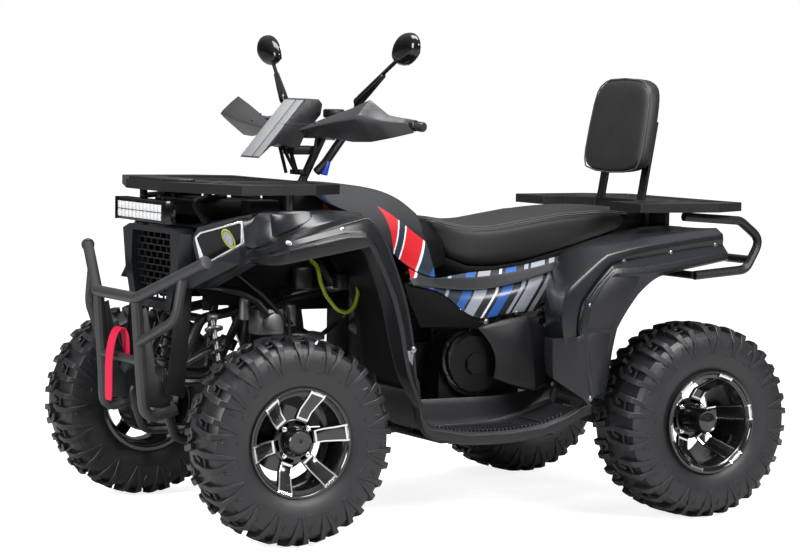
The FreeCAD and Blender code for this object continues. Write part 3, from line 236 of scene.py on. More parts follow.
def turned(profile, steps, centre=(0, 0, 0)):
    """A closed outline of (y, r) spun about the y axis."""
    piece = primitive(bpy.ops.mesh.primitive_circle_add, [(r, y, 0) for y, r in profile],
                      vertices=len(profile), fill_type="NOTHING")
    edit((bpy.ops.mesh.spin, {"steps": steps, "angle": math.tau, "center": (0, 0, 0), "axis": (0, 1, 0)}))
    piece.data.transform(Matrix.Translation(point(centre)))
    return outward(piece)


print("sheet, plate and turned forms")

# %% Modifiers, joining and dressing
def modify(piece, kind, **settings):
    modifier = piece.modifiers.new(kind.lower(), kind)
    for name, value in settings.items():
        setattr(modifier, name, value)
    bpy.context.view_layer.objects.active = piece
    bpy.ops.object.modifier_apply(modifier=modifier.name)
    return piece


def bevelled(piece, width, degrees=40, segments=2):
    """Round the edges that turn by more than some degrees."""
    return modify(piece, "BEVEL", width=width * MM, segments=segments, limit_method="ANGLE",
                  angle_limit=math.radians(degrees))


def subdivided(piece, levels):
    return modify(piece, "SUBSURF", levels=levels, render_levels=levels)


def joined(pieces, name):
    select_only(*pieces)
    if len(pieces) > 1:
        bpy.ops.object.join()
    whole = bpy.context.view_layer.objects.active
    whole.name = name
    return whole


def copy_of(piece, matrix):
    other = piece.copy()
    other.data = piece.data.copy()
    bpy.context.scene.collection.objects.link(other)
    other.data.transform(matrix)
    if matrix.determinant() < 0:
        other.data.flip_normals()
    return other


MIRROR = Matrix.Scale(-1, 4, (0, 1, 0))


def both(*pieces):
    """Each piece followed by its mirror image on the other side."""
    return [side_piece for piece in pieces for side_piece in (piece, copy_of(piece, MIRROR))]


def dressed(pieces, name, body, paint, stands_for=(), degrees=35):
    """Join, name, smooth and paint a piece, and let it ride on a body in place of CAD nodes."""
    piece = joined(pieces, name) if isinstance(pieces, list) else pieces
    piece.name = name
    piece.data.name = name
    select_only(piece)
    bpy.ops.object.shade_smooth_by_angle(angle=math.radians(degrees))
    piece.data.materials.clear()
    piece.data.materials.append(paint)
    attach(piece, body)
    if stands_for:
        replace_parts(piece, *stands_for)
    print(name, len(piece.data.polygons), "faces")
    return piece


print("modifiers, joining and dressing")

# %% Pipes, drums and bricks
def pipe(points, radius, bend=30.0, sides=16, steps=5):
    """A round tube along points, with a bend of the given radius at each corner."""
    places = [point(p) for p in points]
    path = [places[0]]
    for before, corner, after in zip(places, places[1:], places[2:]):
        into = (corner - before).normalized()
        out = (after - corner).normalized()
        half = into.angle(out) / 2
        longest = min((corner - before).length, (after - corner).length) * 0.49
        reach = min(bend * MM * math.tan(half), longest)
        for k in range(steps + 1):
            share = k / steps
            a = corner - into * reach
            c = corner + out * reach
            path.append(a.lerp(corner, share).lerp(corner.lerp(c, share), share))
    path.append(places[-1])
    curve = bpy.data.curves.new("pipe", "CURVE")
    curve.dimensions = "3D"
    curve.bevel_depth = radius * MM
    curve.bevel_resolution = max(sides // 4 - 1, 1)
    curve.use_fill_caps = True
    run = curve.splines.new("POLY")
    run.points.add(len(path) - 1)
    for spot, place in zip(run.points, path):
        spot.co = (*place, 1)
    holder = bpy.data.objects.new("pipe", curve)
    bpy.context.scene.collection.objects.link(holder)
    select_only(holder)
    bpy.ops.object.convert(target="MESH")
    return outward(bpy.context.object)


def drum(start, end, radius, sides=24, edge=0.0):
    """A cylinder from start to end."""
    a, b = point(start), point(end)
    piece = primitive(bpy.ops.mesh.primitive_cylinder_add, vertices=sides, radius=radius * MM,
                      depth=(b - a).length)
    turn_to = (b - a).to_track_quat("Z", "Y").to_matrix().to_4x4()
    piece.data.transform(Matrix.Translation((a + b) / 2) @ turn_to)
    return bevelled(piece, edge, 50) if edge else piece


def brick(low, high, edge=0.0):
    """A box between two corners."""
    piece = primitive(bpy.ops.mesh.primitive_cube_add, size=1)
    size = [h - l for l, h in zip(low, high)]
    middle = [(h + l) / 2 for l, h in zip(low, high)]
    piece.data.transform(Matrix.Translation(point(middle)) @ Matrix.Diagonal((*point(size), 1)))
    return bevelled(piece, edge, 50) if edge else piece


print("pipes, drums and bricks")

# %% [markdown]
# ## Finishes
# Each material starts from one recipe: a base colour that varies a little, a roughness that varies,
# and a fine bump. The pattern reads Object coordinates, so it keeps its scale on every piece.

# %% Material recipe
MOTTLE_SCALE = 14.0
GRAIN_DEPTH = 0.0004


def finish(name, colour, rough, metallic=0.0, grain=0.0, grain_scale=900.0, mottle=0.12, specular=0.5,
           coat=0.0):
    paint = bpy.data.materials.new(name)
    paint.use_nodes = True
    tree = paint.node_tree
    shader = tree.nodes["Principled BSDF"]
    for socket, value in (("Metallic", metallic), ("Specular IOR Level", specular), ("Coat Weight", coat),
                          ("Coat Roughness", 0.15)):
        shader.inputs[socket].default_value = value
    place = add_node(tree, "TexCoord").outputs["Object"]
    cloud = add_node(tree, "TexNoise", {"Vector": place, "Scale": MOTTLE_SCALE, "Detail": 4}).outputs["Fac"]
    darker, lighter = [(*[c * (1 + change) for c in colour], 1) for change in (-mottle, mottle)]
    shade = add_node(tree, "Mix", {"Factor": cloud, "A": darker, "B": lighter}, data_type="RGBA")
    gloss = add_node(tree, "MapRange", {"Value": cloud, "To Min": rough * 0.86,
                                        "To Max": min(rough * 1.16, 1.0)})
    tree.links.new(shade.outputs["Result"], shader.inputs["Base Color"])
    tree.links.new(gloss.outputs["Result"], shader.inputs["Roughness"])
    if grain:
        fine = add_node(tree, "TexNoise", {"Vector": place, "Scale": grain_scale, "Detail": 2})
        bump = add_node(tree, "Bump", {"Strength": grain, "Distance": GRAIN_DEPTH,
                                       "Height": fine.outputs["Fac"]})
        tree.links.new(bump.outputs["Normal"], shader.inputs["Normal"])
    return paint


charcoal = finish("charcoal_plastic", (0.0105, 0.0118, 0.015), 0.25, grain=0.08, grain_scale=500,
                  specular=0.42)
black_plastic = finish("black_plastic", (0.0055, 0.0057, 0.0063), 0.36, specular=0.28, grain=0.4,
                       grain_scale=700)
dark_grey = finish("dark_grey_plastic", (0.014, 0.0145, 0.0165), 0.36, specular=0.35, grain=0.4,
                   grain_scale=700)
powder_coat = finish("powder_coat", (0.010, 0.0102, 0.011), 0.33, specular=0.4, grain=0.4, grain_scale=1200)
matt_black = finish("matt_black", (0.0035, 0.0035, 0.004), 0.55, grain=0.3, specular=0.12)
flare_black = finish("flare_black", (0.008, 0.0084, 0.0098), 0.30, grain=0.3, grain_scale=900, specular=0.42)
pale_grey = finish("pale_grey", (0.22, 0.225, 0.235), 0.45, grain=0.3, grain_scale=900)
rim_black = finish("rim_black", (0.008, 0.008, 0.009), 0.14, specular=0.6, coat=0.5, mottle=0.05)
machined = finish("machined_alloy", (0.82, 0.82, 0.83), 0.22, metallic=1.0, grain=0.15, grain_scale=2200,
                  mottle=0.04)
bolt_steel = finish("bolt_steel", (0.30, 0.30, 0.31), 0.3, metallic=1.0, mottle=0.1)
steel = finish("bright_steel", (0.62, 0.62, 0.63), 0.25, metallic=1.0, mottle=0.08)
dull_alloy = finish("dull_alloy", (0.24, 0.24, 0.25), 0.42, metallic=0.9, grain=0.5, grain_scale=300)
engine_black = finish("engine_black", (0.005, 0.005, 0.0055), 0.42, metallic=0.1, specular=0.25, grain=0.9,
                      grain_scale=260)
rubber = finish("grip_rubber", (0.017, 0.017, 0.018), 0.62, grain=0.6, grain_scale=800)
tyre_rubber = finish("tyre_rubber", (0.0125, 0.013, 0.0148), 0.42, specular=0.5, grain=0.45, grain_scale=420,
                     mottle=0.2)
cover_black = finish("cover_black", (0.0035, 0.0035, 0.004), 0.13, grain=0.05, specular=0.5)
print("base finishes", len(bpy.data.materials))

# %% [markdown]
# ## Tyres
# An off-road tyre has a smooth lower wall and a tread of tall blocks. Eighteen V-shaped shoulder
# blocks a side start low on the wall and open towards the tread; smaller blocks fill the middle.
# One pitch of blocks is modelled on the unrolled tread, wrapped on the casing, and copied round.

# %% Casing section
TREAD_RADIUS = 257.0


def casing(half):
    """Outline of the casing from the middle of the tread to the bead, as (y, r)."""
    return [(0, 258), (half * 0.45, TREAD_RADIUS), (half - 22, 253), (half - 9, 243), (half - 4, 226),
            (half - 3, 205), (half - 5, 184), (half - 9, 165), (half - 14, 150), (half - 18, 144)]


def on_casing(half, along, across):
    """Point and outward direction at an angle along the tread and a distance out from its middle."""
    line = casing(half)
    left = abs(across)
    for (y0, r0), (y1, r1) in zip(line, line[1:]):
        length = math.hypot(y1 - y0, r1 - r0)
        if left <= length or (y1, r1) == line[-1]:
            share = min(left / length, 1.0)
            y = y0 + (y1 - y0) * share
            r = r0 + (r1 - r0) * share
            ny, nr = (r0 - r1) / length, (y1 - y0) / length
            break
        left -= length
    sign = 1 if across >= 0 else -1
    angle = along / TREAD_RADIUS
    spot = Vector((r * math.sin(angle), y * sign, r * math.cos(angle)))
    normal = Vector((nr * math.sin(angle), ny * sign, nr * math.cos(angle)))
    return spot, normal


def tread_block(half, stations):
    """A block through stations (along, across, half width, height)."""
    rows = [[], []]
    lifts = [[], []]
    for i, (s, t, w, h) in enumerate(stations):
        before = stations[max(i - 1, 0)]
        after = stations[min(i + 1, len(stations) - 1)]
        run = Vector((after[0] - before[0], after[1] - before[1])).normalized()
        for j, sign in enumerate((-1, 1)):
            spot, normal = on_casing(half, s - run.y * w * sign, t + run.x * w * sign)
            low = spot - normal * 2.5
            rows[j].append(tuple(low))
            lifts[j].append(tuple(normal * (h + 2.5)))
    piece = raised(sheet_of(rows), lifts[0] + lifts[1])
    return bevelled(piece, 1.4, segments=1)


print("a block wraps on the casing")

# %% One pitch of blocks, then the whole tread
LUG_PITCHES = 18


def tyre(half, name, body, stands_for, centre):
    edge = half * 0.86
    wall = edge + 62
    side_blocks = [
        [(-33, edge * 0.26, 7, 15), (-27, edge * 0.62, 8, 15.5), (-25, edge * 0.92, 8, 13.5),
         (-19, edge + 22, 7, 6), (-5, wall, 5, 2.5)],
        [(4, edge * 0.20, 7, 15), (12, edge * 0.55, 8, 15.5), (16, edge * 0.90, 8, 13.5),
         (12, edge + 22, 7, 6), (2, wall, 5, 2.5)],
        [(-33, edge * 0.26, 6, 14), (-18, edge * 0.20, 5, 14), (-10, edge * 0.42, 5, 13)],
        [(28, edge + 20, 5, 3), (36, edge + 38, 2.5, 2)],
        [(-23, edge * 0.60, 3, 10), (14, edge * 0.62, 3, 10)],
        [(22, wall + 2, 1.0, 1.6), (40, wall + 2, 1.0, 1.6)],
    ]
    left = joined([tread_block(half, stations) for stations in side_blocks], "left_pitch")
    centre_block = tread_block(half, [(-16, -edge * 0.18, 6, 14), (2, -2, 7, 15), (8, edge * 0.20, 6, 14)])
    right = copy_of(left, MIRROR)
    parts = []
    pitch = math.tau / LUG_PITCHES
    for k in range(LUG_PITCHES):
        turn_left = Matrix.Rotation(pitch * k, 4, "Y")
        turn_right = Matrix.Rotation(pitch * (k + 0.5), 4, "Y")
        parts += [copy_of(left, turn_left), copy_of(right, turn_right), copy_of(centre_block, turn_left)]
    for piece in (left, right, centre_block):
        bpy.data.objects.remove(piece)
    line = casing(half)
    section = [(-y, r) for y, r in reversed(line)] + line[1:]
    bead = half - 14
    section += [(bead - 3, 137), (bead - 3, 128.6), (-bead + 3, 128.6), (-bead + 3, 137)]
    body_ring = turned(section, 90)
    whole = joined([body_ring] + parts, name)
    whole.data.transform(Matrix.Translation(point(centre)))
    return dressed(whole, name, body, tyre_rubber, [stands_for], 30)


FRONT_AXLE = (682, 494, 273)
REAR_AXLE = (-582, 485, 273)
front_tyre = tyre(89, "front_tyre_left", "front_wheel_left", "tyre_front_left", FRONT_AXLE)
rear_tyre = tyre(115, "rear_tyre_left", "rear_wheels", "tyre_rear_left", REAR_AXLE)

# %% Tyres of the other side
def other_side(piece, name, body, stands_for):
    twin = copy_of(piece, MIRROR)
    twin.parent = None
    twin.matrix_world = Matrix.Identity(4)
    twin.name = name
    twin.data.name = name
    if "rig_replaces" in twin:
        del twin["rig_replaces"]
    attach(twin, body)
    if stands_for:
        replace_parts(twin, *stands_for)
    return twin


other_side(front_tyre, "front_tyre_right", "front_wheel_right", ["tyre_front_right"])
other_side(rear_tyre, "rear_tyre_right", "rear_wheels", ["tyre_rear_right"])
print("four tyres")

# %% [markdown]
# ## Rims
# A gloss black cast rim with six flat spokes. A cutter has bared the alloy at each spoke's edges:
# thin lines along its sides, a wider pad on the lip and a bar at the hub.
# The barrel is turned; one spoke is modelled as a strip from the hub out to the lip and copied.

# %% Rim barrel
SPOKES = 6


def barrel(half, dish):
    face = half - dish
    outer = [(half, 143), (half, 138), (half - 3, 135), (half - 7, 133.5), (half - 12, 124), (half - 26, 121),
             (half - 38, 117), (-half + 40, 112), (-half + 20, 122), (-half, 134), (-half, 143),
             (-half + 5, 143.3), (-half + 8, 128.2), (half - 8, 128.2), (half - 5, 143.3)]
    ring = turned(outer, 96)
    hub = turned([(face - 20, 8), (face - 20, 46), (face - 6, 58), (face - 1, 58), (face, 55), (face, 34),
                  (face - 8, 30), (face - 8, 8)], 48)
    return joined([ring, hub], "barrel")


def spoke_line(half, dish):
    """Radius, depth and half width of a spoke from the hub to the lip."""
    face = half - dish
    return [(44, face, 17), (62, face, 17), (84, face + dish * 0.10, 18), (112, face + dish * 0.62, 20),
            (128, half - 4, 22), (137, half - 0.5, 22)]


def spoke_strip(line, depth, lift, inner, outer):
    """A strip on the spoke between two offsets across it, as shares of its half width."""
    rows = [[(w * share, y + lift - depth, r) for r, y, w in line] for share in (inner, outer)]
    return raised(sheet_of(rows), [(0, depth, 0)] * (2 * len(line)))


print("rim parts ready")

# %% Spokes
def rim(half, dish, name, body, stands_for, centre, first):
    line = spoke_line(half, dish)
    bright = []
    for sign in (-1, 1):
        bright.append(spoke_strip(line[1:], 2, 0.8, sign * 0.80, sign * 1.0))
    pad = [(130, half - 3.2, 22), (139, half - 0.3, 22)]
    bright.append(spoke_strip(pad, 3, 0.3, -1.0, 1.0))
    hub_bar = [(59, line[1][1], 17), (65, line[1][1], 17)]
    bright.append(spoke_strip(hub_bar, 2, 0.8, -1.0, 1.0))
    black_spoke = bevelled(spoke_strip(line, 13, 0, -1.0, 1.0), 1.2)
    bright_spoke = joined(bright, "bright_spoke")
    dark_parts, light_parts = [barrel(half, dish)], []
    for k in range(SPOKES):
        spin = Matrix.Rotation(-(math.radians(first) + math.tau * k / SPOKES) + math.pi / 2, 4, "Y")
        dark_parts.append(copy_of(black_spoke, spin))
        light_parts.append(copy_of(bright_spoke, spin))
    bpy.data.objects.remove(black_spoke)
    bpy.data.objects.remove(bright_spoke)
    face = half - dish
    cap = turned([(face - 9, 0.5), (face - 9, 40), (face + 2, 40), (face + 10, 37), (face + dish * 0.72, 34),
                  (face + dish * 0.82, 30), (face + dish * 0.80, 26), (face + dish * 0.86, 0.5)], 48)
    dark_parts.append(cap)
    for k in range(4):
        angle = math.radians(45 + 90 * k)
        spot = (48 * math.cos(angle), 0, 48 * math.sin(angle))
        nut = drum((spot[0], face - 2, spot[2]), (spot[0], face + 12, spot[2]), 7.5, 6, 1.2)
        tip = drum((spot[0], face + 11, spot[2]), (spot[0], face + 17, spot[2]), 4.5, 16, 1.0)
        light_parts += [nut, tip]
    if dish < 100:
        dark_parts.append(turned([(-50, 9), (-50, 88), (-46, 88), (-46, 9)], 64))
        dark_parts.append(turned([(-56, 9), (-56, 34), (face - 8, 30), (face - 8, 9)], 40))
    dark = joined(dark_parts, name)
    light = joined(light_parts, name + "_edges")
    for piece in (dark, light):
        piece.data.transform(Matrix.Translation(point(centre)))
    dressed(dark, name, body, rim_black, [stands_for])
    dressed(light, name + "_edges", body, machined)
    return dark, light


front_rim = rim(77, 43, "front_rim_left", "front_wheel_left", "rim_front_left", FRONT_AXLE, 50)
rear_rim = rim(110, 108, "rear_rim_left", "rear_wheels", "rim_rear_left", REAR_AXLE, 50)
for pieces, side_body, stands_for in ((front_rim, "front_wheel_right", "rim_front_right"),
                                      (rear_rim, "rear_wheels", "rim_rear_right")):
    for piece, hides in zip(pieces, ([stands_for], [])):
        other_side(piece, piece.name.replace("left", "right"), side_body, hides)
print("four rims")

# %% [markdown]
# ## Moulded panels
# Hood, fenders and covers are injection mouldings: one wall thickness, soft edges, and creases where
# the designer wants a line. A grid is laid through measured rows of points, subdivided into a
# smooth surface with some columns kept sharp, and then given its wall.

# %% Panel helper
def crease_grid(piece, columns, rows_count, folds, ridges):
    """Keep the border, the folded columns and the ridged rows of a grid sharp when it is subdivided."""
    mesh = piece.data
    layer = mesh.attributes.new("crease_edge", "FLOAT", "EDGE")
    for edge in mesh.edges:
        a, b = edge.vertices
        row_a, col_a = divmod(a, columns)
        row_b, col_b = divmod(b, columns)
        along_rows = col_a == col_b
        same_row = row_a == row_b
        border = (along_rows and col_a in (0, columns - 1)) or (same_row and row_a in (0, rows_count - 1))
        value = 1.0 if border else 0.0
        if along_rows and col_a in folds:
            value = folds[col_a]
        if same_row and row_a in ridges:
            value = 0.8
        layer.data[edge.index].value = value


def panel(rows, wall, folds=None, ridges=(), levels=2, edge=None, degrees=55):
    """A wall of even thickness laid smoothly through rows of points, with soft edges."""
    piece = sheet_of(rows)
    crease_grid(piece, len(rows[0]), len(rows), folds or {}, ridges)
    subdivided(piece, levels)
    modify(piece, "SOLIDIFY", thickness=wall * MM, offset=0)
    return outward(bevelled(piece, edge or min(wall * 0.3, 1.2), degrees))


def towards(a, b, reach, push=0.0):
    """A point some way from a towards b, moved outwards by push."""
    a, b = Vector(a), Vector(b)
    spot = a + (b - a).normalized() * reach
    return (spot.x, spot.y + push, spot.z)


def across_middle(rows):
    return [[(x, -y, z) for x, y, z in reversed(row) if y > 0] + list(row) for row in rows]


print("panels follow rows of points")

# %% Hood and fender tops
HOOD_ROWS = [
    [(808, 0, 808), (808, 130, 808), (806, 198, 810), (746, 330, 840), (744, 334, 818), (741, 336, 771)],
    [(780, 0, 814), (780, 130, 818), (770, 200, 826), (724, 328, 850), (714, 366, 855), (720, 342, 762)],
    [(700, 0, 820), (690, 130, 828), (690, 200, 836), (680, 330, 858), (676, 399, 859), (690, 400, 784)],
    [(650, 0, 824), (640, 130, 834), (630, 200, 842), (620, 330, 860), (622, 398, 861), (629, 449, 812)],
    [(560, 0, 830), (540, 130, 844), (520, 200, 850), (530, 330, 860), (530, 397, 861), (542, 451, 833)],
    [(500, 0, 836), (470, 130, 850), (440, 200, 854), (428, 330, 856), (424, 391, 855), (460, 446, 852)],
]
hood = panel(across_middle(HOOD_ROWS), 3.5, {1: 1.0, 2: 1.0, 3: 1.0, 7: 1.0, 8: 1.0, 9: 1.0},
             ridges=(1, 2, 4))
dressed(hood, "hood", "chassis", charcoal, ["front_body"])
LINER = [(802, 806), (770, 820), (635, 834), (530, 843), (455, 848), (428, 700), (476, 640), (640, 596),
         (760, 600), (796, 640)]
liner = bevelled(plate([(x, 161.2, z) for x, z in LINER], (0, 3.6, 0)), 1)
liners = both(liner)
for k in range(4):
    z = 640 + 40 * k
    liners += both(brick((500 + 8 * k, 164, z), (740, 166.5, z + 6), 0.8))
dressed(liners, "arch_liners", "chassis", matt_black)
inlay_rows = [[(700, 401, 855), (697, 402.5, 826), (694, 403, 795)],
              [(655, 402.5, 858), (655, 412, 838), (656, 429, 812)],
              [(610, 401.5, 860), (612, 415, 845), (614, 431, 830)],
              [(580, 401, 860.5), (581, 407, 853), (584, 416.5, 844)]]
hood_plates = both(panel([[(x, y + 1.5, z + 1) for x, y, z in row] for row in inlay_rows], 3.0))
dressed(hood_plates, "hood_inlays", "chassis", charcoal)

# %% Tank cover
COVER_ROWS = [
    [(410, 0, 928), (418, 60, 922), (430, 120, 891), (424, 200, 870), (420, 322, 853), (418, 386, 847)],
    [(340, 0, 924), (335, 60, 920), (326, 122, 891), (322, 210, 864), (330, 300, 846), (345, 352, 798)],
    [(262, 0, 916), (258, 60, 910), (240, 122, 887), (240, 205, 848), (262, 262, 798), (276, 280, 744)],
    [(187, 0, 906), (184, 56, 900), (186, 118, 874), (188, 190, 818), (196, 226, 750), (200, 235, 700)],
    [(117, 0, 882), (118, 54, 874), (134, 116, 844), (136, 168, 794), (136, 205, 720), (136, 213, 672)],
    [(64, 0, 840), (70, 52, 836), (92, 112, 814), (96, 156, 766), (92, 191, 702), (88, 199, 664)],
]
tank = panel(across_middle(COVER_ROWS), 3.5, {3: 0.8, 7: 0.8})
print("tank cover shaped; it is painted with the side covers")

# %% Front flares
FLARE_LINES = [
    [(724, 318, 752), (725, 328, 748), (723, 336, 736), (723, 333, 731), (718, 316, 726)],
    [(712, 345, 764), (719, 420, 764), (723, 470, 753), (723, 462, 724), (716, 420, 722)],
    [(690, 396, 786), (694, 480, 785), (704, 530, 768), (703, 527, 736), (696, 488, 738)],
    [(640, 446, 812), (640, 512, 808), (640, 547, 782), (640, 545, 750), (640, 505, 757)],
    [(548, 452, 834), (545, 516, 834), (545, 549, 801), (540, 546, 767), (545, 507, 773)],
    [(468, 447, 853), (472, 516, 850), (491, 549, 800), (482, 546, 778), (498, 507, 776)],
    [(424, 443, 836), (438, 518, 824), (463, 549, 771), (470, 546, 766), (476, 507, 763)],
    [(400, 440, 799), (410, 517, 779), (438, 548, 722), (446, 546, 719), (456, 505, 712)],
    [(335, 425, 650), (354, 510, 655), (400, 545, 645), (408, 543, 643), (420, 500, 640)],
    [(316, 415, 560), (331, 507, 560), (374, 541, 560), (382, 539, 558), (398, 497, 545)],
    [(306, 405, 495), (317, 503, 495), (361, 536, 500), (368, 534, 498), (376, 492, 470)],
    [(300, 400, 420), (312, 501, 415), (345, 530, 430), (352, 528, 428), (354, 488, 411)],
    [(270, 380, 343), (290, 500, 343), (302, 527, 343), (306, 525, 343), (304, 486, 345)],
]


def grooved(line):
    """The line across a flare with a sunk groove between its shoulder and its lip."""
    shoulder, lip = line[1], line[2]
    span = (Vector(lip) - Vector(shoulder)).length
    inner_edge = towards(shoulder, lip, min(8, span * 0.3), -5)
    outer_edge = towards(shoulder, lip, max(span - 14, span * 0.5), -7)
    return line[:2] + [inner_edge, outer_edge] + line[2:]


flare = panel([grooved(line) for line in FLARE_LINES], 4.0, {1: 1.0, 2: 1.0, 3: 1.0, 4: 0.9, 5: 1.0},
              ridges=(2, 5, 7), edge=1.5, degrees=25)
flare_lip = pipe([(x, y - 1.5, z - 1) for x, y, z in [line[2] for line in FLARE_LINES]], 4.2, 26, 12, 6)
# A matt black pipe in the groove marks the gap between the two mouldings and paints the shade inside that gap
# as a dark line.
flare_groove_shade = pipe([grooved(line)[3] for line in FLARE_LINES[1:]], 2.4, 26, 8, 6)
dressed(both(flare_groove_shade), "flare_groove_shades", "chassis", matt_black)
CHIN_ROWS = [[(690, 352, 775), (692, 355, 756), (694, 352, 738)],
             [(735, 340, 757), (737, 342, 740), (738, 340, 722)],
             [(790, 278, 716), (793, 281, 702), (796, 280, 686)],
             [(808, 263, 704), (810, 265, 694), (812, 264, 684)]]
chin = panel(CHIN_ROWS, 4.0, {1: 0.3}, edge=1.5, degrees=25)
dressed(both(chin), "chin_strips", "chassis", charcoal)
dressed(both(flare, flare_lip), "front_flare_pair", "chassis", flare_black,
        ["front_flares"])
wall_rows = []
for line in FLARE_LINES[6:]:
    inner, turned_in = Vector(line[0]), Vector(line[4])
    wall_rows.append([(turned_in.x - 5, turned_in.y - 4, turned_in.z), (inner.x + 8, 420, turned_in.z),
                      (inner.x + 4, 300, turned_in.z), (inner.x + 2, 168, turned_in.z)])
arch_wall = panel(wall_rows, 3.0, {1: 0.6})
dressed(both(arch_wall), "arch_walls", "chassis", matt_black)
foot_shell = bevelled(plate([(352, 524, 498), (322, 506, 495), (328, 507, 432), (344, 522, 432)],
                            (1.5, 3, 0)), 0.8)
dressed(both(foot_shell), "flare_inlays", "chassis", pale_grey)

# %% Rear fenders and tail deck
FENDER_ROWS = [
    [(-705, 160, 798), (-699, 330, 798), (-683, 451, 806), (-671, 499, 792), (-672, 500, 778),
     (-675, 494, 762), (-680, 510, 742), (-680, 514, 724), (-684, 505, 720)],
    [(-620, 172, 798), (-620, 330, 794), (-610, 449, 800), (-598, 499, 786), (-599, 500, 772),
     (-600, 494, 757), (-598, 512, 734), (-600, 516, 712), (-600, 508, 706)],
    [(-500, 172, 774), (-500, 330, 786), (-500, 447, 788), (-495, 499, 773), (-496, 500, 758),
     (-496, 494, 743), (-497, 512, 719), (-498, 516, 697), (-494, 508, 690)],
    [(-400, 174, 750), (-390, 330, 772), (-385, 445, 776), (-380, 499, 760), (-381, 500, 742),
     (-382, 494, 728), (-393, 512, 706), (-398, 516, 686), (-436, 508, 676)],
    [(-330, 186, 724), (-310, 330, 750), (-300, 443, 756), (-285, 497, 740), (-297, 500, 722),
     (-300, 494, 714), (-300, 511, 704), (-306, 515, 690), (-384, 508, 630)],
    [(-269, 237, 675), (-262, 330, 692), (-243, 439, 698), (-221, 495, 692), (-242, 500, 668),
     (-248, 494, 662), (-252, 509, 657), (-266, 513, 650), (-345, 507, 582)],
    [(-245, 245, 620), (-211, 330, 630), (-181, 435, 636), (-161, 491, 640), (-200, 498, 612),
     (-206, 492, 607), (-212, 507, 604), (-228, 511, 600), (-318, 506, 536)],
    [(-245, 245, 560), (-201, 330, 560), (-167, 435, 560), (-143, 489, 560), (-184, 496, 540),
     (-190, 490, 540), (-198, 505, 539), (-214, 509, 538), (-304, 503, 474)],
    [(-257, 245, 440), (-215, 330, 440), (-191, 435, 440), (-177, 487, 440), (-205, 493, 440),
     (-211, 488, 440), (-219, 502, 440), (-234, 506, 440), (-299, 500, 410)],
    [(-273, 245, 351), (-241, 330, 351), (-223, 435, 351), (-215, 485, 351), (-230, 491, 350),
     (-235, 486, 349), (-242, 500, 348), (-252, 502, 346), (-287, 493, 337)],
]
fender = panel(FENDER_ROWS, 3.5, {k: 1.0 for k in range(2, 8)}, ridges=(4, 6), edge=1.6, degrees=22)
# A matt black pipe in the groove marks the gap between the mouldings and paints the shade inside that gap as
# a dark line.
fender_groove_shade = pipe([row[5] for row in FENDER_ROWS], 3.0, 24, 8, 6)
dressed(both(fender_groove_shade), "fender_groove_shades", "chassis", matt_black)
fender_lip = pipe([row[6] for row in FENDER_ROWS], 2.6, 24, 8, 6)
INLAY = [(-284, 516.6, 681), (-383, 518.4, 677), (-330, 512, 590), (-299, 509, 537), (-217, 509.6, 540),
         (-229, 512.6, 604)]
inlay = bevelled(plate(INLAY, (0, 2.2, 0)), 1.6)
LOWER_INLAY = [(-219, 508, 527), (-294, 506.5, 525), (-284, 499.5, 360), (-254, 502, 352), (-230, 507, 440)]
lower_inlay = bevelled(plate(LOWER_INLAY, (0, 2.2, 0)), 1.6)
HEEL_BLOCK = [
    [(-152, 400, 508), (-134, 470, 510), (-190, 503, 516), (-216, 506, 526)],
    [(-150, 400, 450), (-134, 470, 455), (-196, 503, 440), (-222, 506, 445)],
    [(-160, 400, 405), (-138, 470, 399), (-215, 502, 344), (-238, 504, 318)],
]
heel_block = panel(HEEL_BLOCK, 4.0, {1: 1.0, 2: 1.0}, edge=1.5, degrees=22)
dressed(both(heel_block, inlay, lower_inlay), "fender_inlays", "chassis", dark_grey)
TAIL_ROWS = [
    [(-776, 0, 790), (-774, 140, 792), (-706, 174, 797)],
    [(-640, 0, 782), (-640, 140, 786), (-640, 184, 797)],
    [(-600, 0, 774), (-600, 140, 778), (-600, 184, 794)],
]
tail = panel(across_middle(TAIL_ROWS), 3.5, levels=1)
BACK_ROWS = [[(-776, 0, 792), (-774, 140, 794)], [(-790, 0, 690), (-788, 180, 690)]]
back_panel = panel(across_middle(BACK_ROWS), 3.5, levels=1)
dressed(both(fender, fender_lip) + [tail, back_panel], "rear_fender_pair", "chassis", charcoal,
        ["rear_body"])

# %% [markdown]
# ## Side covers with stripes
# The cover under the tank carries slanted stripes in red, blue, light grey and white on black.
# A ramp with hard steps over a slanted coordinate paints them, at the photograph's scale.

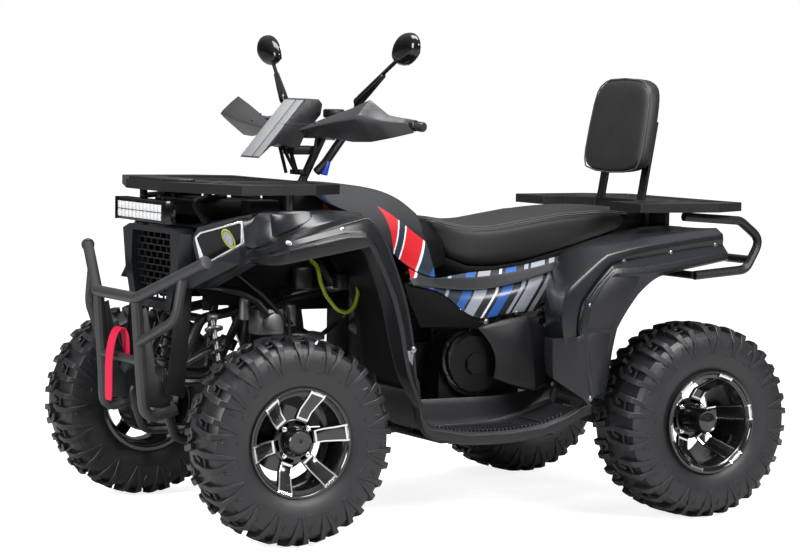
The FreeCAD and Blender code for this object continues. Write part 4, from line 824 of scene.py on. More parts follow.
# %% Stripe finish
def stripe_finish():
    paint = finish("side_stripes", (0.02, 0.021, 0.024), 0.24, specular=0.6, coat=0.4)
    tree = paint.node_tree
    split = add_node(tree, "SeparateXYZ", {"Vector": first_node(tree, "TEX_COORD").outputs["Object"]})
    slant = maths(tree, "MULTIPLY_ADD", split.outputs["Z"], 0.72, split.outputs["X"])
    span = add_node(tree, "MapRange", {"Value": slant, "From Min": 0.15, "From Max": 1.15})
    ramp = add_node(tree, "ValToRGB", {"Fac": span.outputs["Result"]})
    black, navy, blue = (0.014, 0.015, 0.018, 1), (0.018, 0.026, 0.042, 1), (0.02, 0.09, 0.32, 1)
    red, white, silver = (0.55, 0.012, 0.02, 1), (0.72, 0.73, 0.76, 1), (0.26, 0.28, 0.32, 1)
    steps = [(0.0, black), (0.05, silver), (0.065, black), (0.075, silver), (0.115, black), (0.125, silver),
             (0.135, black), (0.16, blue), (0.19, black), (0.20, white), (0.21, black), (0.235, silver),
             (0.275, black), (0.285, blue), (0.315, navy), (0.36, silver), (0.372, navy), (0.42, blue),
             (0.44, navy), (0.50, white), (0.508, red), (0.60, white), (0.608, navy), (0.64, white),
             (0.648, red), (0.75, white), (0.758, navy), (0.82, blue), (0.84, silver), (0.85, navy),
             (0.95, black)]
    ramp.color_ramp.interpolation = "CONSTANT"
    elements = ramp.color_ramp.elements
    for k in (0, 1):
        elements[k].position, elements[k].color = steps[k]
    for spot, colour in steps[2:]:
        elements.new(spot).color = colour
    tree.links.new(ramp.outputs["Color"], tree.nodes["Principled BSDF"].inputs["Base Color"])
    return paint


stripes = stripe_finish()


def side_band(paint, name, plain, slope, top, inner, front):
    """The stripes on the cover's sides, below a slope and behind its nose, and one plain colour elsewhere."""
    belt = paint.copy()
    belt.name = name
    tree = belt.node_tree
    x, y, z = [first_node(tree, "SEPXYZ").outputs[axis] for axis in "XYZ"]
    below = maths(tree, "LESS_THAN", maths(tree, "MULTIPLY_ADD", x, -slope, z), top)
    beside = maths(tree, "GREATER_THAN", maths(tree, "ABSOLUTE", y), inner)
    behind = maths(tree, "LESS_THAN", x, front)
    here = maths(tree, "MULTIPLY", maths(tree, "MULTIPLY", below, beside), behind)
    stripe_colour = first_node(tree, "VALTORGB").outputs["Color"]
    blend = add_node(tree, "Mix", {"Factor": here, "A": plain, "B": stripe_colour}, data_type="RGBA")
    tree.links.new(blend.outputs["Result"], tree.nodes["Principled BSDF"].inputs["Base Color"])
    return belt


tank_stripes = side_band(stripes, "tank_stripes", (0.0125, 0.014, 0.0175, 1), slope=0.62, top=0.70,
                         inner=0.13, front=0.265)
dressed(tank, "tank_cover_skin", "chassis", tank_stripes, ["tank_cover"])
SIDE_ROWS = [
    [(196, 239, 694), (188, 245, 650), (150, 245, 640)],
    [(132, 216, 666), (110, 239, 640), (86, 241, 628)],
    [(84, 202, 658), (60, 237, 620), (20, 239, 568)],
    [(-10, 185, 674), (-10, 235, 612), (-35, 239, 545)],
    [(-90, 181, 676), (-90, 235, 620), (-92, 239, 556)],
    [(-211, 181, 690), (-200, 235, 640), (-160, 239, 566)],
    [(-330, 179, 716), (-290, 229, 670), (-225, 237, 565)],
]
side_cover = panel(SIDE_ROWS, 3.5, {1: 0.4})
HEEL_GUARD = [
    [(-28, 240, 523), (-110, 249, 546), (-176, 262, 555), (-264, 250, 508)],
    [(-62, 246, 488), (-120, 264, 488), (-180, 284, 482), (-266, 256, 470)],
    [(-88, 250, 437), (-130, 268, 432), (-184, 290, 426), (-268, 262, 420)],
    [(-76, 250, 381), (-126, 270, 362), (-188, 294, 345), (-268, 264, 368)],
]
heel_guard = panel(HEEL_GUARD, 3.5, {1: 0.5, 2: 1.0}, edge=1.6, degrees=22)
dressed(both(heel_guard), "heel_guards", "chassis", dark_grey)
SHIELD = [(205, 233, 652), (104, 234, 642), (18, 235, 568), (-48, 236, 534), (-30, 232, 520), (40, 228, 528),
          (150, 228, 528), (186, 230, 600)]
shield = bevelled(plate(SHIELD, (0, 3, 0)), 1)
dressed(both(shield), "side_shields", "chassis", matt_black)
dressed(both(side_cover), "side_cover_pair", "chassis", stripes, ["side_panels"])
BAND_ROWS = [
    [(196, 243, 668), (184, 247, 646)], [(110, 235, 664), (104, 241.5, 638)],
    [(52, 221, 662), (50, 238.5, 632)], [(-10, 213, 662), (-10, 234.5, 628)],
    [(-90, 211, 666), (-90, 234.5, 634)], [(-205, 212, 682), (-202, 233.5, 656)],
    [(-300, 208, 702), (-294, 226, 682)],
]
band = panel(BAND_ROWS, 3.0)
dressed(both(band), "side_bands", "chassis", dark_grey)

# %% [markdown]
# ## Saddle
# Foam under stretched vinyl: a long crowned form with a double seam along its upper edge.
# Sections across its length are joined into a tube and subdivided, which needs far fewer points
# than sculpting. The seam is laid on top as thin piping, and a dark pan and neck close the gaps.

# %% Vinyl
def vinyl_finish(name, colour):
    """The recipe, with small cells in place of the fine grain."""
    paint = finish(name, colour, 0.46, grain=0.55, grain_scale=260, specular=0.45)
    tree = paint.node_tree
    cells = add_node(tree, "TexVoronoi",
                     {"Vector": first_node(tree, "TEX_COORD").outputs["Object"], "Scale": 620})
    tree.links.new(cells.outputs["Distance"], first_node(tree, "BUMP").inputs["Height"])
    return paint


vinyl = vinyl_finish("black_vinyl", (0.0135, 0.0137, 0.0148))
bumper_grey = finish("bumper_grey", (0.030, 0.031, 0.033), 0.42, grain=0.3, grain_scale=900)
guard_grey = finish("guard_grey", (0.026, 0.0268, 0.029), 0.34, grain=0.3, grain_scale=700, specular=0.45)
thread = finish("seam_thread", (0.05, 0.05, 0.052), 0.6, grain=0.8, grain_scale=2000)


def loft(sections):
    """A closed skin through rings with the same number of corners."""
    piece = plate_face(sections[0])
    count = len(sections[0])
    for number, section in enumerate(sections[1:], start=1):
        bpy.ops.object.mode_set(mode="EDIT")
        bpy.ops.mesh.extrude_region_move()
        bpy.ops.object.mode_set(mode="OBJECT")
        for k, p in enumerate(section):
            piece.data.vertices[count * number + k].co = point(p)
    return outward(piece)


SADDLE_STATIONS = [
    (56, 96, 832, 820, 770), (10, 128, 824, 804, 708), (-50, 152, 815, 792, 684), (-130, 160, 815, 795, 682),
    (-230, 164, 828, 811, 694), (-340, 164, 848, 828, 722), (-480, 158, 857, 836, 758),
    (-600, 118, 850, 828, 792), (-632, 96, 842, 826, 806),
]


def saddle_sections():
    sections = []
    for x, half, crown, edge, low in SADDLE_STATIONS:
        left = [(half * 0.3, crown), (half * 0.72, crown - 3), (half * 0.97, edge + 1), (half, edge - 14),
                (half * 0.98, (edge + low) / 2), (half * 0.95, low), (half * 0.5, low)]
        rightward = [(-y, z) for y, z in reversed(left)]
        sections.append([(x, y, z) for y, z in [(0, crown)] + left + rightward])
    return sections


saddle = subdivided(loft(saddle_sections()), 2)
dressed(saddle, "saddle", "chassis", vinyl, ["seat"], 60)

# %% Pan below the saddle
pan_rings = []
for x, half, crown, edge, low in SADDLE_STATIONS:
    wide = half * 0.9
    floor_z = min(low - 46, 742)
    pan_rings.append([(x, wide, low + 6), (x, wide, low - 20), (x, wide * 0.9, floor_z),
                      (x, -wide * 0.9, floor_z), (x, -wide, low - 20), (x, -wide, low + 6)])
pan = bevelled(loft(pan_rings), 3)
dressed(pan, "saddle_pan", "chassis", matt_black)

# %% Neck between the tank and the saddle
neck_rings = []
for x, half_rows in ((108, ((88, 816), (136, 768), (172, 704), (178, 672))),
                     (60, ((92, 812), (124, 766), (138, 704), (140, 680))),
                     (12, ((92, 796), (116, 760), (122, 712), (122, 696)))):
    neck_rings.append([(x, y, z) for y, z in half_rows] + [(x, -y, z) for y, z in reversed(half_rows)])
neck = bevelled(loft(neck_rings), 4, 25)
dressed(neck, "saddle_neck", "chassis", matt_black)

# %% Seams of the saddle
seams = []
for share_out, lift in ((0.985, 3.0), (0.93, 7.5)):
    line = [(x, half * share_out, edge + lift) for x, half, crown, edge, low in SADDLE_STATIONS[:-1]]
    seams.append(pipe(line, 2.0, 40, 8))
seam_pair = dressed(both(*seams), "saddle_seams", "chassis", thread)

# %% [markdown]
# ## Tubes
# The frame, the bumper and the grab bar are bent steel tubes. A tube is a poly curve with rounded
# corners, given a round section and turned into a mesh. Left runs are mirrored to the right.

# %% Frame tubes
RAKE = math.radians(26.6)
COLUMN_FOOT = Vector((650, 0, 440))
COLUMN_AXIS = Vector((-math.sin(RAKE), 0, math.cos(RAKE)))
COLUMN_ACROSS = Vector((-math.cos(RAKE), 0, -math.sin(RAKE)))
COLUMN_LENGTH = 716
BAR_CENTRE = COLUMN_FOOT + COLUMN_AXIS * COLUMN_LENGTH


def tube_set(name, left_runs, middle_pieces, paint, stands_for):
    """Left tubes, their mirror images and the pieces on the middle, as one dressed piece."""
    made = []
    for run, radius, bend in left_runs:
        made += both(pipe(run, radius, bend))
    dressed(made + middle_pieces, name, "chassis", paint, stands_for)


rails = [
    ([(0, 110, 640), (330, 110, 640), (760, 110, 560), (866, 110, 340), (830, 110, 235), (100, 110, 235)],
     13.6, 36),
    ([(100, 110, 235), (-330, 110, 235), (-400, 110, 420), (-330, 110, 640), (0, 110, 640)], 13.6, 36),
    ([(842, 110, 390), (640, 110, 390), (620, 110, 586)], 12.6, 30),
    ([(-290, 110, 640), (-755, 110, 760)], 12.6, 36),
    ([(-392, 110, 420), (-650, 110, 728)], 11.6, 36),
]
cross_tubes = []
for x, z in ((760, 560), (700, 235), (-300, 235), (-310, 640), (-735, 755), (836, 390)):
    cross_tubes.append(drum((x, -110, z), (x, 110, z), 11.6, 20))
for x in (180, -130):
    cross_tubes.append(drum((x, -468, 258.7), (x, 468, 258.7), 10.6, 20, 1.5))
for start in (30, 430):
    low, high = [COLUMN_FOOT + COLUMN_AXIS * reach for reach in (start, start + 30)]
    cross_tubes.append(drum(low, high, 25.5, 32, 2))
cross_tubes.append(pipe([(836, 0, 390), COLUMN_FOOT + COLUMN_AXIS * 30 + COLUMN_ACROSS * -22], 9.6))
for sign in (1, -1):
    cross_tubes.append(pipe([(360, 110 * sign, 634),
                             COLUMN_FOOT + COLUMN_AXIS * 445 + Vector((0, 20 * sign, 0))], 8.6))
    cross_tubes.append(brick((-145, 110 * sign - 10, 640), (-115, 110 * sign + 10, 681), 2))
tube_set("frame_tubes", rails, cross_tubes, powder_coat, ["frame"])

# %% Bumper and grab bar
bumper_runs = [
    ([(959, 132, 612), (943, 132, 400), (936, 141, 296), (846, 141, 320)], 15.6, 50),
    ([(905, 308, 685), (918, 300, 576), (952, 134, 502)], 13.6, 60),
]
bumper_middle = [pipe([(883, 398, 730), (961, 137, 622), (961, -137, 622), (883, -398, 730)], 15.8, 45, 20),
                 drum((946, -132, 452), (946, 132, 452), 11.6, 20)]
for sign in (1, -1):
    bumper_middle.append(drum((884, 396 * sign, 729), (880.5, 407 * sign, 733.5), 18.6, 28, 3))
    gusset = [(930, 128 * sign, 596), (946, 128 * sign, 590), (934, 128 * sign, 330), (862, 128 * sign, 322),
              (852, 128 * sign, 352), (902, 128 * sign, 420), (914, 128 * sign, 520)]
    mount = plate(gusset, (0, 5 * sign, 0))
    bumper_middle.append(bevelled(mount, 1.2))
tube_set("bumper_tubes", bumper_runs, bumper_middle, bumper_grey, ["front_bumper"])
grab_runs = [([(-700, 262, 829.5), (-900, 262, 816), (-976, 262, 760), (-925, 262, 672), (-742, 262, 658)],
              13.6, 40)]
grab_middle = [drum((-938, -262, 700), (-938, 262, 700), 12.6, 20),
               drum((-742, -262, 658), (-742, 262, 658), 11.6, 20)]
tube_set("grab_tubes", grab_runs, grab_middle, powder_coat, ["grab_bar"])

# %% Plates behind the bumper
leg_plate = bevelled(plate([(882, 152, 367), (829, 152, 351), (806, 152, 657), (847, 152, 682)], (0, 5, 0)),
                     1.5)
skid = bevelled(plate([(884, -150, 434), (884, 150, 434), (878, 150, 362), (878, -150, 362)], (-5, 0, 0)),
                1.5)
dressed(both(leg_plate) + [skid], "nose_plates", "chassis", powder_coat)

# %% [markdown]
# ## Castings and plates that keep their modelled form
# Some pieces need only soft edges and a finish. A weld joins their facets and a bevel rounds them;
# both stay live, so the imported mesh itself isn't changed.

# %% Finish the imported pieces
def softened(node, paint, edge=1.5, degrees=25, segments=2):
    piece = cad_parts[node]
    weld = piece.modifiers.new("weld", "WELD")
    weld.merge_threshold = 0.00002
    bevel = piece.modifiers.new("bevel", "BEVEL")
    bevel.width = edge * MM
    bevel.segments = segments
    bevel.limit_method = "ANGLE"
    bevel.angle_limit = math.radians(degrees)
    bevel.harden_normals = True
    piece.data.materials.clear()
    piece.data.materials.append(paint)


cast_black = finish("cast_black", (0.022, 0.022, 0.024), 0.45, metallic=0.3, grain=0.8, grain_scale=350)
for node, edge in (("front_rack", 7.0), ("rear_rack", 7.0), ("backrest_frame", 1.2),
                   ("steering_column", 1.5)):
    softened(node, powder_coat, edge, 30, 3)
softened("grille_surround", charcoal, 2.0)
softened("engine", engine_black, 3.0, 30)
softened("battery_box", black_plastic, 2.5, 30)
softened("exhaust", cast_black, 2.0, 20)
softened("swingarm", cast_black, 2.0)
for node in ("rear_axle", "knuckle_left", "knuckle_right"):
    softened(node, cast_black, 1.2, 40)
print("softened nodes ready")

# %% Footboards
BOARD_LINE = [(300, 420, 66), (288, 404, 60), (277, 306, 20), (250, 274, 6), (128, 252, 0), (0, 252, 0),
              (-109, 262, 0), (-190, 290, 8), (-236, 314, 16), (-262, 318, 18)]
board_rows = []
for x, lip, rise in BOARD_LINE:
    floor_z = lip - 4 - rise * 0.5
    board_rows.append([(x, 246, max(lip + 60 - rise, 330) if x < 270 else lip), (x, 254, floor_z + 10),
                       (x, 268, floor_z), (x, 436, floor_z), (x, 446, lip + 6), (x, 462, lip + 8),
                       (x, 472, lip), (x, 472, lip - 20), (x, 452, lip - 26)])
board = panel(board_rows, 3.5, {1: 0.6, 2: 0.6, 3: 1.0, 4: 1.0, 5: 0.8, 6: 0.8, 7: 1.0}, edge=1.4, degrees=25)


def board_height(x):
    """The lip's height at x, between the stations before and after it."""
    before = [(bx, lip) for bx, lip, rise in BOARD_LINE if bx >= x][-1]
    after = [(bx, lip) for bx, lip, rise in BOARD_LINE if bx <= x][0]
    span = before[0] - after[0]
    return after[1] + (before[1] - after[1]) * ((x - after[0]) / span if span else 0)


teeth = [pipe([(x, 473, lip + 4) for x, lip, rise in BOARD_LINE], 2.4, 20, 8)]
for k in range(34):
    x = 232 - 12.4 * k
    z = board_height(x)
    teeth.append(brick((x - 2.2, 436, z), (x + 2.2, 450, z + 15), 1.2))
    if -150 < x < 200:
        teeth.append(brick((x - 2.2, 290, z - 3), (x + 2.2, 420, z + 3), 1.0))
dressed(both(*teeth), "board_teeth", "chassis", guard_grey)
board_parts = both(board, brick((-150, 120, 236), (210, 460, 246), 2),
                   brick((-150, 278, 248), (200, 286, 262), 1.5))
dressed(board_parts, "footboard_pair", "chassis", dark_grey, ["footwells"])

# %% [markdown]
# ## Suspension
# Two arms a side carry each front wheel's knuckle, and a coil spring over a damper holds it up.
# A screw modifier could wind the coil. Here it is a pipe along computed points instead, because
# the same helper also makes the arms and the rods.

# %% Arms
def front_arm_set(xs, pivot_z, eye_z):
    made = [drum((682, 400, eye_z - 9.5), (682, 400, eye_z + 9.5), 14.5, 28, 1.5)]
    for x in xs:
        made.append(drum((x - 17, 137.3, pivot_z), (x + 17, 137.3, pivot_z), 12.6, 24, 1.5))
        made.append(pipe([(x, 137.3, pivot_z), (682, 400, eye_z)], 10.6))
    return made


arm_pieces = front_arm_set((670, 706), 390, 348) + front_arm_set((620, 786), 235, 198)
arm_pieces.append(drum((640, 262, 217), (750, 262, 217), 9, 20))
dressed(both(*arm_pieces), "suspension_arms", "chassis", powder_coat, ["front_arms"])

# %% Spring and damper units
def coil(low, top, radius, wire, turns, steps=20):
    low, top = Vector(low), Vector(top)
    axis = (top - low).normalized()
    first = axis.orthogonal().normalized()
    second = axis.cross(first)
    line = []
    for k in range(turns * steps + 1):
        angle = math.tau * k / steps
        line.append(low + (top - low) * (k / (turns * steps)) + first * radius * math.cos(angle)
                    + second * radius * math.sin(angle))
    return pipe(line, wire, 0.5, 8, 1)


def damper(low, top, spring):
    low, top = Vector(low), Vector(top)
    axis = (top - low).normalized()
    length = (top - low).length
    eye = Vector((12, 0, 0))
    metal = [drum(low - eye, low + eye, 11.6, 24, 1.5), drum(top - eye, top + eye, 11.6, 24, 1.5),
             drum(low, top, 7.5, 20), drum(low + axis * 20, low + axis * length * 0.55, 17.5, 28, 2),
             drum(low + axis * 50, low + axis * 58, spring - 0.5, 32, 2),
             drum(top - axis * 38, top - axis * 30, spring - 0.5, 32, 2)]
    return metal, coil(low + axis * 60, top - axis * 40, spring - 6, 4.6, 8)


spring_black = finish("spring_black", (0.012, 0.012, 0.013), 0.25, specular=0.6)
metal, spring = damper((740, 262, 241.8), (740, 136.3, 566), 26)
dressed(both(*metal), "front_dampers", "chassis", dull_alloy, ["shocks"])
dressed(both(spring), "front_springs", "chassis", spring_black)
rear_metal, rear_spring = damper((-490.7, 0, 391), (-336, 0, 640), 30)
dressed(rear_metal, "rear_damper", "chassis", dull_alloy)
dressed(rear_spring, "rear_spring", "chassis", spring_black)

# %% Tie rods
def tie_rod_piece(sign, name, body, node):
    inner = COLUMN_FOOT + COLUMN_ACROSS * 70 + Vector((0, 22, 0)) - COLUMN_AXIS * 0.5
    low = inner - COLUMN_AXIS * 17
    outer_low = Vector((604, 400, 302.2))
    outer_top = outer_low + Vector((0, 0, 17))
    link_a, link_b = (inner + low) / 2, (outer_low + outer_top) / 2
    run = (link_b - link_a).normalized()
    made = [drum(low, inner, 10.6, 24, 1.5), drum(outer_low, outer_top, 10.6, 24, 1.5),
            drum(link_a, link_b, 5.5, 20), drum(link_a + run * 30, link_a + run * 70, 6.8, 6, 0.8),
            drum(link_b - run * 70, link_b - run * 30, 6.8, 6, 0.8)]
    rod = joined(made, name)
    if sign < 0:
        rod.data.transform(MIRROR)
        rod.data.flip_normals()
    dressed(rod, name, body, steel, [node])


tie_rod_piece(1, "tie_rod_left_piece", "tie_rod_left", "tie_rod_left")
tie_rod_piece(-1, "tie_rod_right_piece", "tie_rod_right", "tie_rod_right")

# %% [markdown]
# ## Handlebar and controls
# All of this turns with the steering column: bar, grips, levers, mirrors, hand guards and pod.
# Grips and clamps are outlines turned about the bar's own slope. The mirrors' heads are lofted and
# subdivided, and the guards are panels, because no primitive comes near their shape.

# %% Bar and grips
BAR_HIGH, BAR_END = Vector((352, 175, 1112)), Vector((270, 412, 1088))
BAR_RUN = (BAR_END - BAR_HIGH).normalized()


def on_bar(y):
    return BAR_HIGH + (BAR_END - BAR_HIGH) * ((y - BAR_HIGH.y) / (BAR_END.y - BAR_HIGH.y))


def turned_along(profile, start, end, steps=32):
    """An outline of (distance from start, radius) turned about the line from start to end."""
    piece = turned(profile, steps)
    along = (Vector(end) - Vector(start)).to_track_quat("Y", "Z").to_matrix().to_4x4()
    piece.data.transform(Matrix.Translation(point(start)) @ along)
    return piece


bar_left = [tuple(BAR_END), tuple(BAR_HIGH), (BAR_CENTRE.x, 95, BAR_CENTRE.z)]
bar_line = bar_left + [(x, -y, z) for x, y, z in reversed(bar_left)]
dressed(pipe(bar_line, 10.8, 42, 20), "bar_tube", "steering", powder_coat, ["handlebar"])
grip_length = (on_bar(406) - on_bar(282)).length
grip_outline = [(0, 11.5), (0, 18), (4, 19), (7, 16)]
for k in range(13):
    d = 10 + k * (grip_length - 18) / 13
    grip_outline += [(d, 14.6), (d + 2, 15.6), (d + 6, 15.6), (d + 7.5, 14.6)]
grip_outline += [(grip_length - 4, 15.8), (grip_length, 15), (grip_length, 11.5)]
grip = turned_along(grip_outline, on_bar(282), on_bar(406), 36)
block_length = (on_bar(280) - on_bar(226)).length
control = turned_along([(0, 11.5), (0, 19), (2, 20.5), (block_length - 2, 20.5), (block_length, 19),
                        (block_length, 11.5)],
                       on_bar(226), on_bar(280), 36)
lever = pipe([(341, 252, 1102), (372, 276, 1096), (350, 400, 1082)], 5.6, 20)
tip = drum((350.6, 397, 1082.2), (349.4, 403, 1081.8), 7, 20, 2)
dressed(both(grip, control, lever, tip), "grips_and_levers", "steering", rubber,
        ["grips_levers"])

# %% Mirrors
mirror_glass = finish("mirror_glass", (0.8, 0.82, 0.85), 0.04, metallic=1.0, mottle=0.01)
stem_clamp = drum(on_bar(206), on_bar(224), 18.6, 28, 2)
stem = pipe([(350, 215, 1122), (356, 226, 1158), (316, 392, 1270)], 5.6, 26)
boot = pipe([(352, 218, 1132), (356, 226, 1158)], 8.5, 10)
HEAD_OUTLINE = [(346, 1264), (352, 1286), (360, 1304), (378, 1322), (400, 1334), (425, 1338), (450, 1337),
                (470, 1330), (484, 1316), (487, 1298), (484, 1280), (460, 1262), (424, 1246), (380, 1248)]
HEAD_MIDDLE = (414, 1292)


def head_ring(x, shrink):
    """The head's outline at x, drawn in towards its middle."""
    y0, z0 = HEAD_MIDDLE
    return [(x, y0 + (y - y0) * shrink, z0 + (z - z0) * shrink) for y, z in HEAD_OUTLINE]


head = loft([head_ring(300.5, 0.94), head_ring(304, 0.985), head_ring(316, 0.99), head_ring(327, 0.8),
             head_ring(333.5, 0.5)])
subdivided(head, 1)
sleeve = turned_along([(0, 5), (0, 12), (6, 13.5), (60, 11.5), (130, 8), (135, 5)], (355, 224, 1146),
                      (316, 392, 1270), 24)
dressed(both(stem_clamp, stem, boot, head, sleeve), "mirror_pair", "steering", cover_black,
        ["mirrors"], 50)
glass = plate(head_ring(300.6, 0.86), (-0.5, 0, 0))
dressed(both(glass), "mirror_glasses", "steering", mirror_glass)

# %% Hand guards
GUARD_ROWS = [
    [(452, 108, 1078), (440, 175, 1098), (428, 250, 1116), (418, 320, 1132), (412, 410, 1156),
     (374, 440, 1116), (318, 449, 1106)],
    [(462, 106, 1074), (462, 175, 1088), (458, 250, 1103), (450, 322, 1118), (438, 416, 1134),
     (388, 446, 1108), (322, 455, 1101)],
    [(470, 104, 1068), (476, 176, 1077), (480, 250, 1086), (476, 330, 1096), (462, 425, 1106),
     (398, 452, 1099), (326, 460, 1095)],
    [(460, 106, 1062), (458, 178, 1065), (456, 250, 1064), (448, 325, 1068), (432, 415, 1077),
     (382, 446, 1083), (318, 458, 1084)],
    [(450, 108, 1058), (440, 180, 1054), (424, 250, 1050), (412, 310, 1044), (400, 395, 1046),
     (356, 432, 1058), (302, 451, 1072)],
]
guard = panel(GUARD_ROWS, 4.0, {3: 0.7, 4: 1.0, 5: 0.5}, ridges=(2,))
bar_cap = turned_along([(0.5, 0), (0.5, 12), (3, 13.6), (20, 13.6), (23.5, 12), (23.5, 0)], BAR_END,
                       BAR_END + BAR_RUN * 30)
arm_to_guard = pipe([BAR_END + BAR_RUN * 16, (312, 455, 1094)], 7.4)
stay = pipe([on_bar(200) + Vector((12, 0, 0)), (470, 200, 1089)], 4.4)
stay_clamp = drum(on_bar(195.4), on_bar(204.6), 16.6, 28, 1.5)
dressed(both(guard, bar_cap, arm_to_guard, stay, stay_clamp), "hand_guard_pair", "steering", guard_grey,
        ["hand_guards"])

# %% Instrument pod
POD_SIDE = [(430, 1156), (388, 1154), (377, 1141), (382, 1111), (408, 1083), (430, 1055), (444, 1026),
            (460, 1018), (490, 1025), (512, 1032), (536, 1022), (571, 990)]
pod = bevelled(plate([(x, 62, z) for x, z in POD_SIDE], (0, -124, 0)), 3.5, 25, 3)
seam = pipe([(500, 62.2, 1085), (412, 62.2, 1084)], 1.2, 5, 8)
dressed([pod] + both(seam), "pod_housing", "steering", dark_grey, ["instrument_pod"])
FACE_TOP, FACE_FOOT = Vector((430, 0, 1156)), Vector((571, 0, 990))
FACE_DOWN = (FACE_FOOT - FACE_TOP).normalized()
FACE_OUT = Vector((-FACE_DOWN.z, 0, FACE_DOWN.x))
top_edge, low_edge = FACE_TOP + FACE_DOWN * 6, FACE_FOOT - FACE_DOWN * 6
face_parts = []
for low_y, high_y in ((-60, 8), (14, 58)):
    corners = [top_edge + Vector((0, low_y, 0)), top_edge + Vector((0, high_y, 0)),
               low_edge + Vector((0, high_y, 0)), low_edge + Vector((0, low_y, 0))]
    strip = raised(plate_face([c - FACE_OUT * 2 for c in corners]), [FACE_OUT * 3.6] * 4)
    face_parts.append(bevelled(strip, 1.5))
dressed(face_parts, "pod_faces", "steering", pale_grey)
stem_parts = [pipe([(486, 26, 1032), (462, 30, 985), (440, 30, 948)], 5, 30, 12),
              pipe([(470, -20, 1030), (444, -26, 948)], 5, 30, 12),
              pipe([(455, 8, 1030), (426, 6, 948)], 6, 30, 12), brick((372, -34, 1000), (452, 34, 1024), 4),
              pipe([(380, 40, 1075), (392, 44, 1010), (412, 40, 952)], 4, 40, 10),
              brick((398, -30, 944), (432, 30, 958), 3),
              pipe([(294, 30, 1052), (351, 30, 977), (378, 30, 952)], 12, 30, 16),
              brick((286, -40, 1046), (420, 44, 1074), 6), brick((338, 78, 1104), (386, 122, 1128), 5)]
dressed(stem_parts, "steering_looms", "steering", black_plastic)
blue_cap = finish("blue_cap", (0.01, 0.06, 0.55), 0.35)
dressed(drum((346, 30, 984), (356, 30, 944), 12, 24, 3), "key_cap", "steering", blue_cap)

# %% [markdown]
# ## Nose
# A six-sided grille with a brick pattern, headlamps with a bright border, and a lamp bar above.
# An image could stand in for the mesh, but real bars cast shadows, so each one is a small box.
# Each lamp is a dark closed housing whose face, border and eye lie on one slanted plane.

# %% Grille mesh
def grille_half_width(z):
    if z < 700:
        return 99.5 + (z - 606.5) * (133.5 - 99.5) / (700 - 606.5)
    return 133.5 + (z - 700) * (127.5 - 133.5) / (789.5 - 700)


GRILLE_ROWS, ROW_PITCH, COLUMN_PITCH = 10, 18.2, 42.0
mesh_bars = []
for row in range(GRILLE_ROWS + 1):
    z = 607.5 + ROW_PITCH * row
    w = min(grille_half_width(z), grille_half_width(min(z + 3, 789)))
    mesh_bars.append(brick((838, -w, z - 1.0), (844, w, min(z + 2.4, 789.4))))
    if row == GRILLE_ROWS:
        break
    shift = COLUMN_PITCH / 2 * (row % 2)
    for col in range(-4, 5):
        y = COLUMN_PITCH * col + shift
        if abs(y) < min(w, grille_half_width(z + ROW_PITCH)) - 2:
            mesh_bars.append(brick((838.5, y - 1.9, z), (843.5, y + 1.9, z + ROW_PITCH)))
dressed(mesh_bars, "grille_mesh", "chassis", dark_grey, ["grille"])

# %% Headlamps
lens_dark = finish("lens_dark", (0.006, 0.0065, 0.008), 0.12, specular=0.25, mottle=0.02)
lamp_silver = finish("lamp_silver", (0.72, 0.73, 0.75), 0.18, metallic=0.9, mottle=0.03)
lamp_yellow = finish("lamp_yellow", (0.42, 0.46, 0.05), 0.25, coat=0.6, mottle=0.03)
glass_pale = finish("lamp_glass", (0.30, 0.33, 0.36), 0.06, specular=0.8, coat=1.0, mottle=0.02)
LAMP_FACE = [Vector(p) for p in ((824, 205.4, 786.6), (816, 221.3, 801.8), (747, 326.2, 835.2),
                                 (739.6, 335.2, 832.4), (732.7, 322.3, 765.8), (792.3, 220.9, 704.7),
                                 (808.4, 206.3, 726.1))]
LAMP_INNER = [Vector(p) for p in ((819.3, 211, 784.2), (813.4, 223.2, 796.8), (748.1, 322.6, 829.2),
                                  (745.1, 325.5, 825.4), (740.6, 315, 776.5), (790.7, 229.6, 725.5),
                                  (802.4, 215.7, 734.5))]
FASCIA = [Vector(p) for p in ((830, 194, 778), (823, 215, 812), (745, 333, 847), (731, 353, 852),
                              (718, 340, 759), (790, 217, 683), (812, 194, 703))]
LAMP_BACK = Vector((-58, -23, 0))
lamp_normal = (LAMP_FACE[1] - LAMP_FACE[0]).cross(LAMP_FACE[3] - LAMP_FACE[0]).normalized()
if lamp_normal.x < 0:
    lamp_normal = -lamp_normal
lamp_middle = sum(LAMP_FACE, Vector()) / len(LAMP_FACE)


def lamp_ring(share, back):
    return [lamp_middle + (p - lamp_middle) * share - lamp_normal * back for p in LAMP_FACE]


housing = loft([lamp_ring(1.0, 1.0), lamp_ring(0.98, 0), [p + LAMP_BACK for p in LAMP_FACE]])
lens = loft([lamp_ring(0.97, -0.4), lamp_ring(0.97, 2)])
rows = [[p + lamp_normal * 0.6 for p in line + line[:1]] for line in (LAMP_FACE, LAMP_INNER)]
border = bevelled(raised(sheet_of(rows), [lamp_normal * 3.0] * (2 * len(rows[0]))), 0.9)
fascia_plate = raised(plate_face([p - lamp_normal * 5 for p in FASCIA]), [-lamp_normal * 4] * len(FASCIA))
dressed(both(fascia_plate), "lamp_fascias", "chassis", charcoal)
across_lamp = (LAMP_FACE[4] - LAMP_FACE[5]).normalized()
EYE_PLACE = Vector((763.2, 287.9, 786.6)) + lamp_normal * 0.5
EYE_WIDTH = 0.55


def oval(profile):
    """A form turned on the lamp's face and then drawn in across the lamp."""
    piece = turned_along(profile, EYE_PLACE, EYE_PLACE + lamp_normal * 10)
    for vertex in piece.data.vertices:
        vertex.co -= across_lamp * ((vertex.co - point(EYE_PLACE)).dot(across_lamp) * (1 - EYE_WIDTH))
    return piece


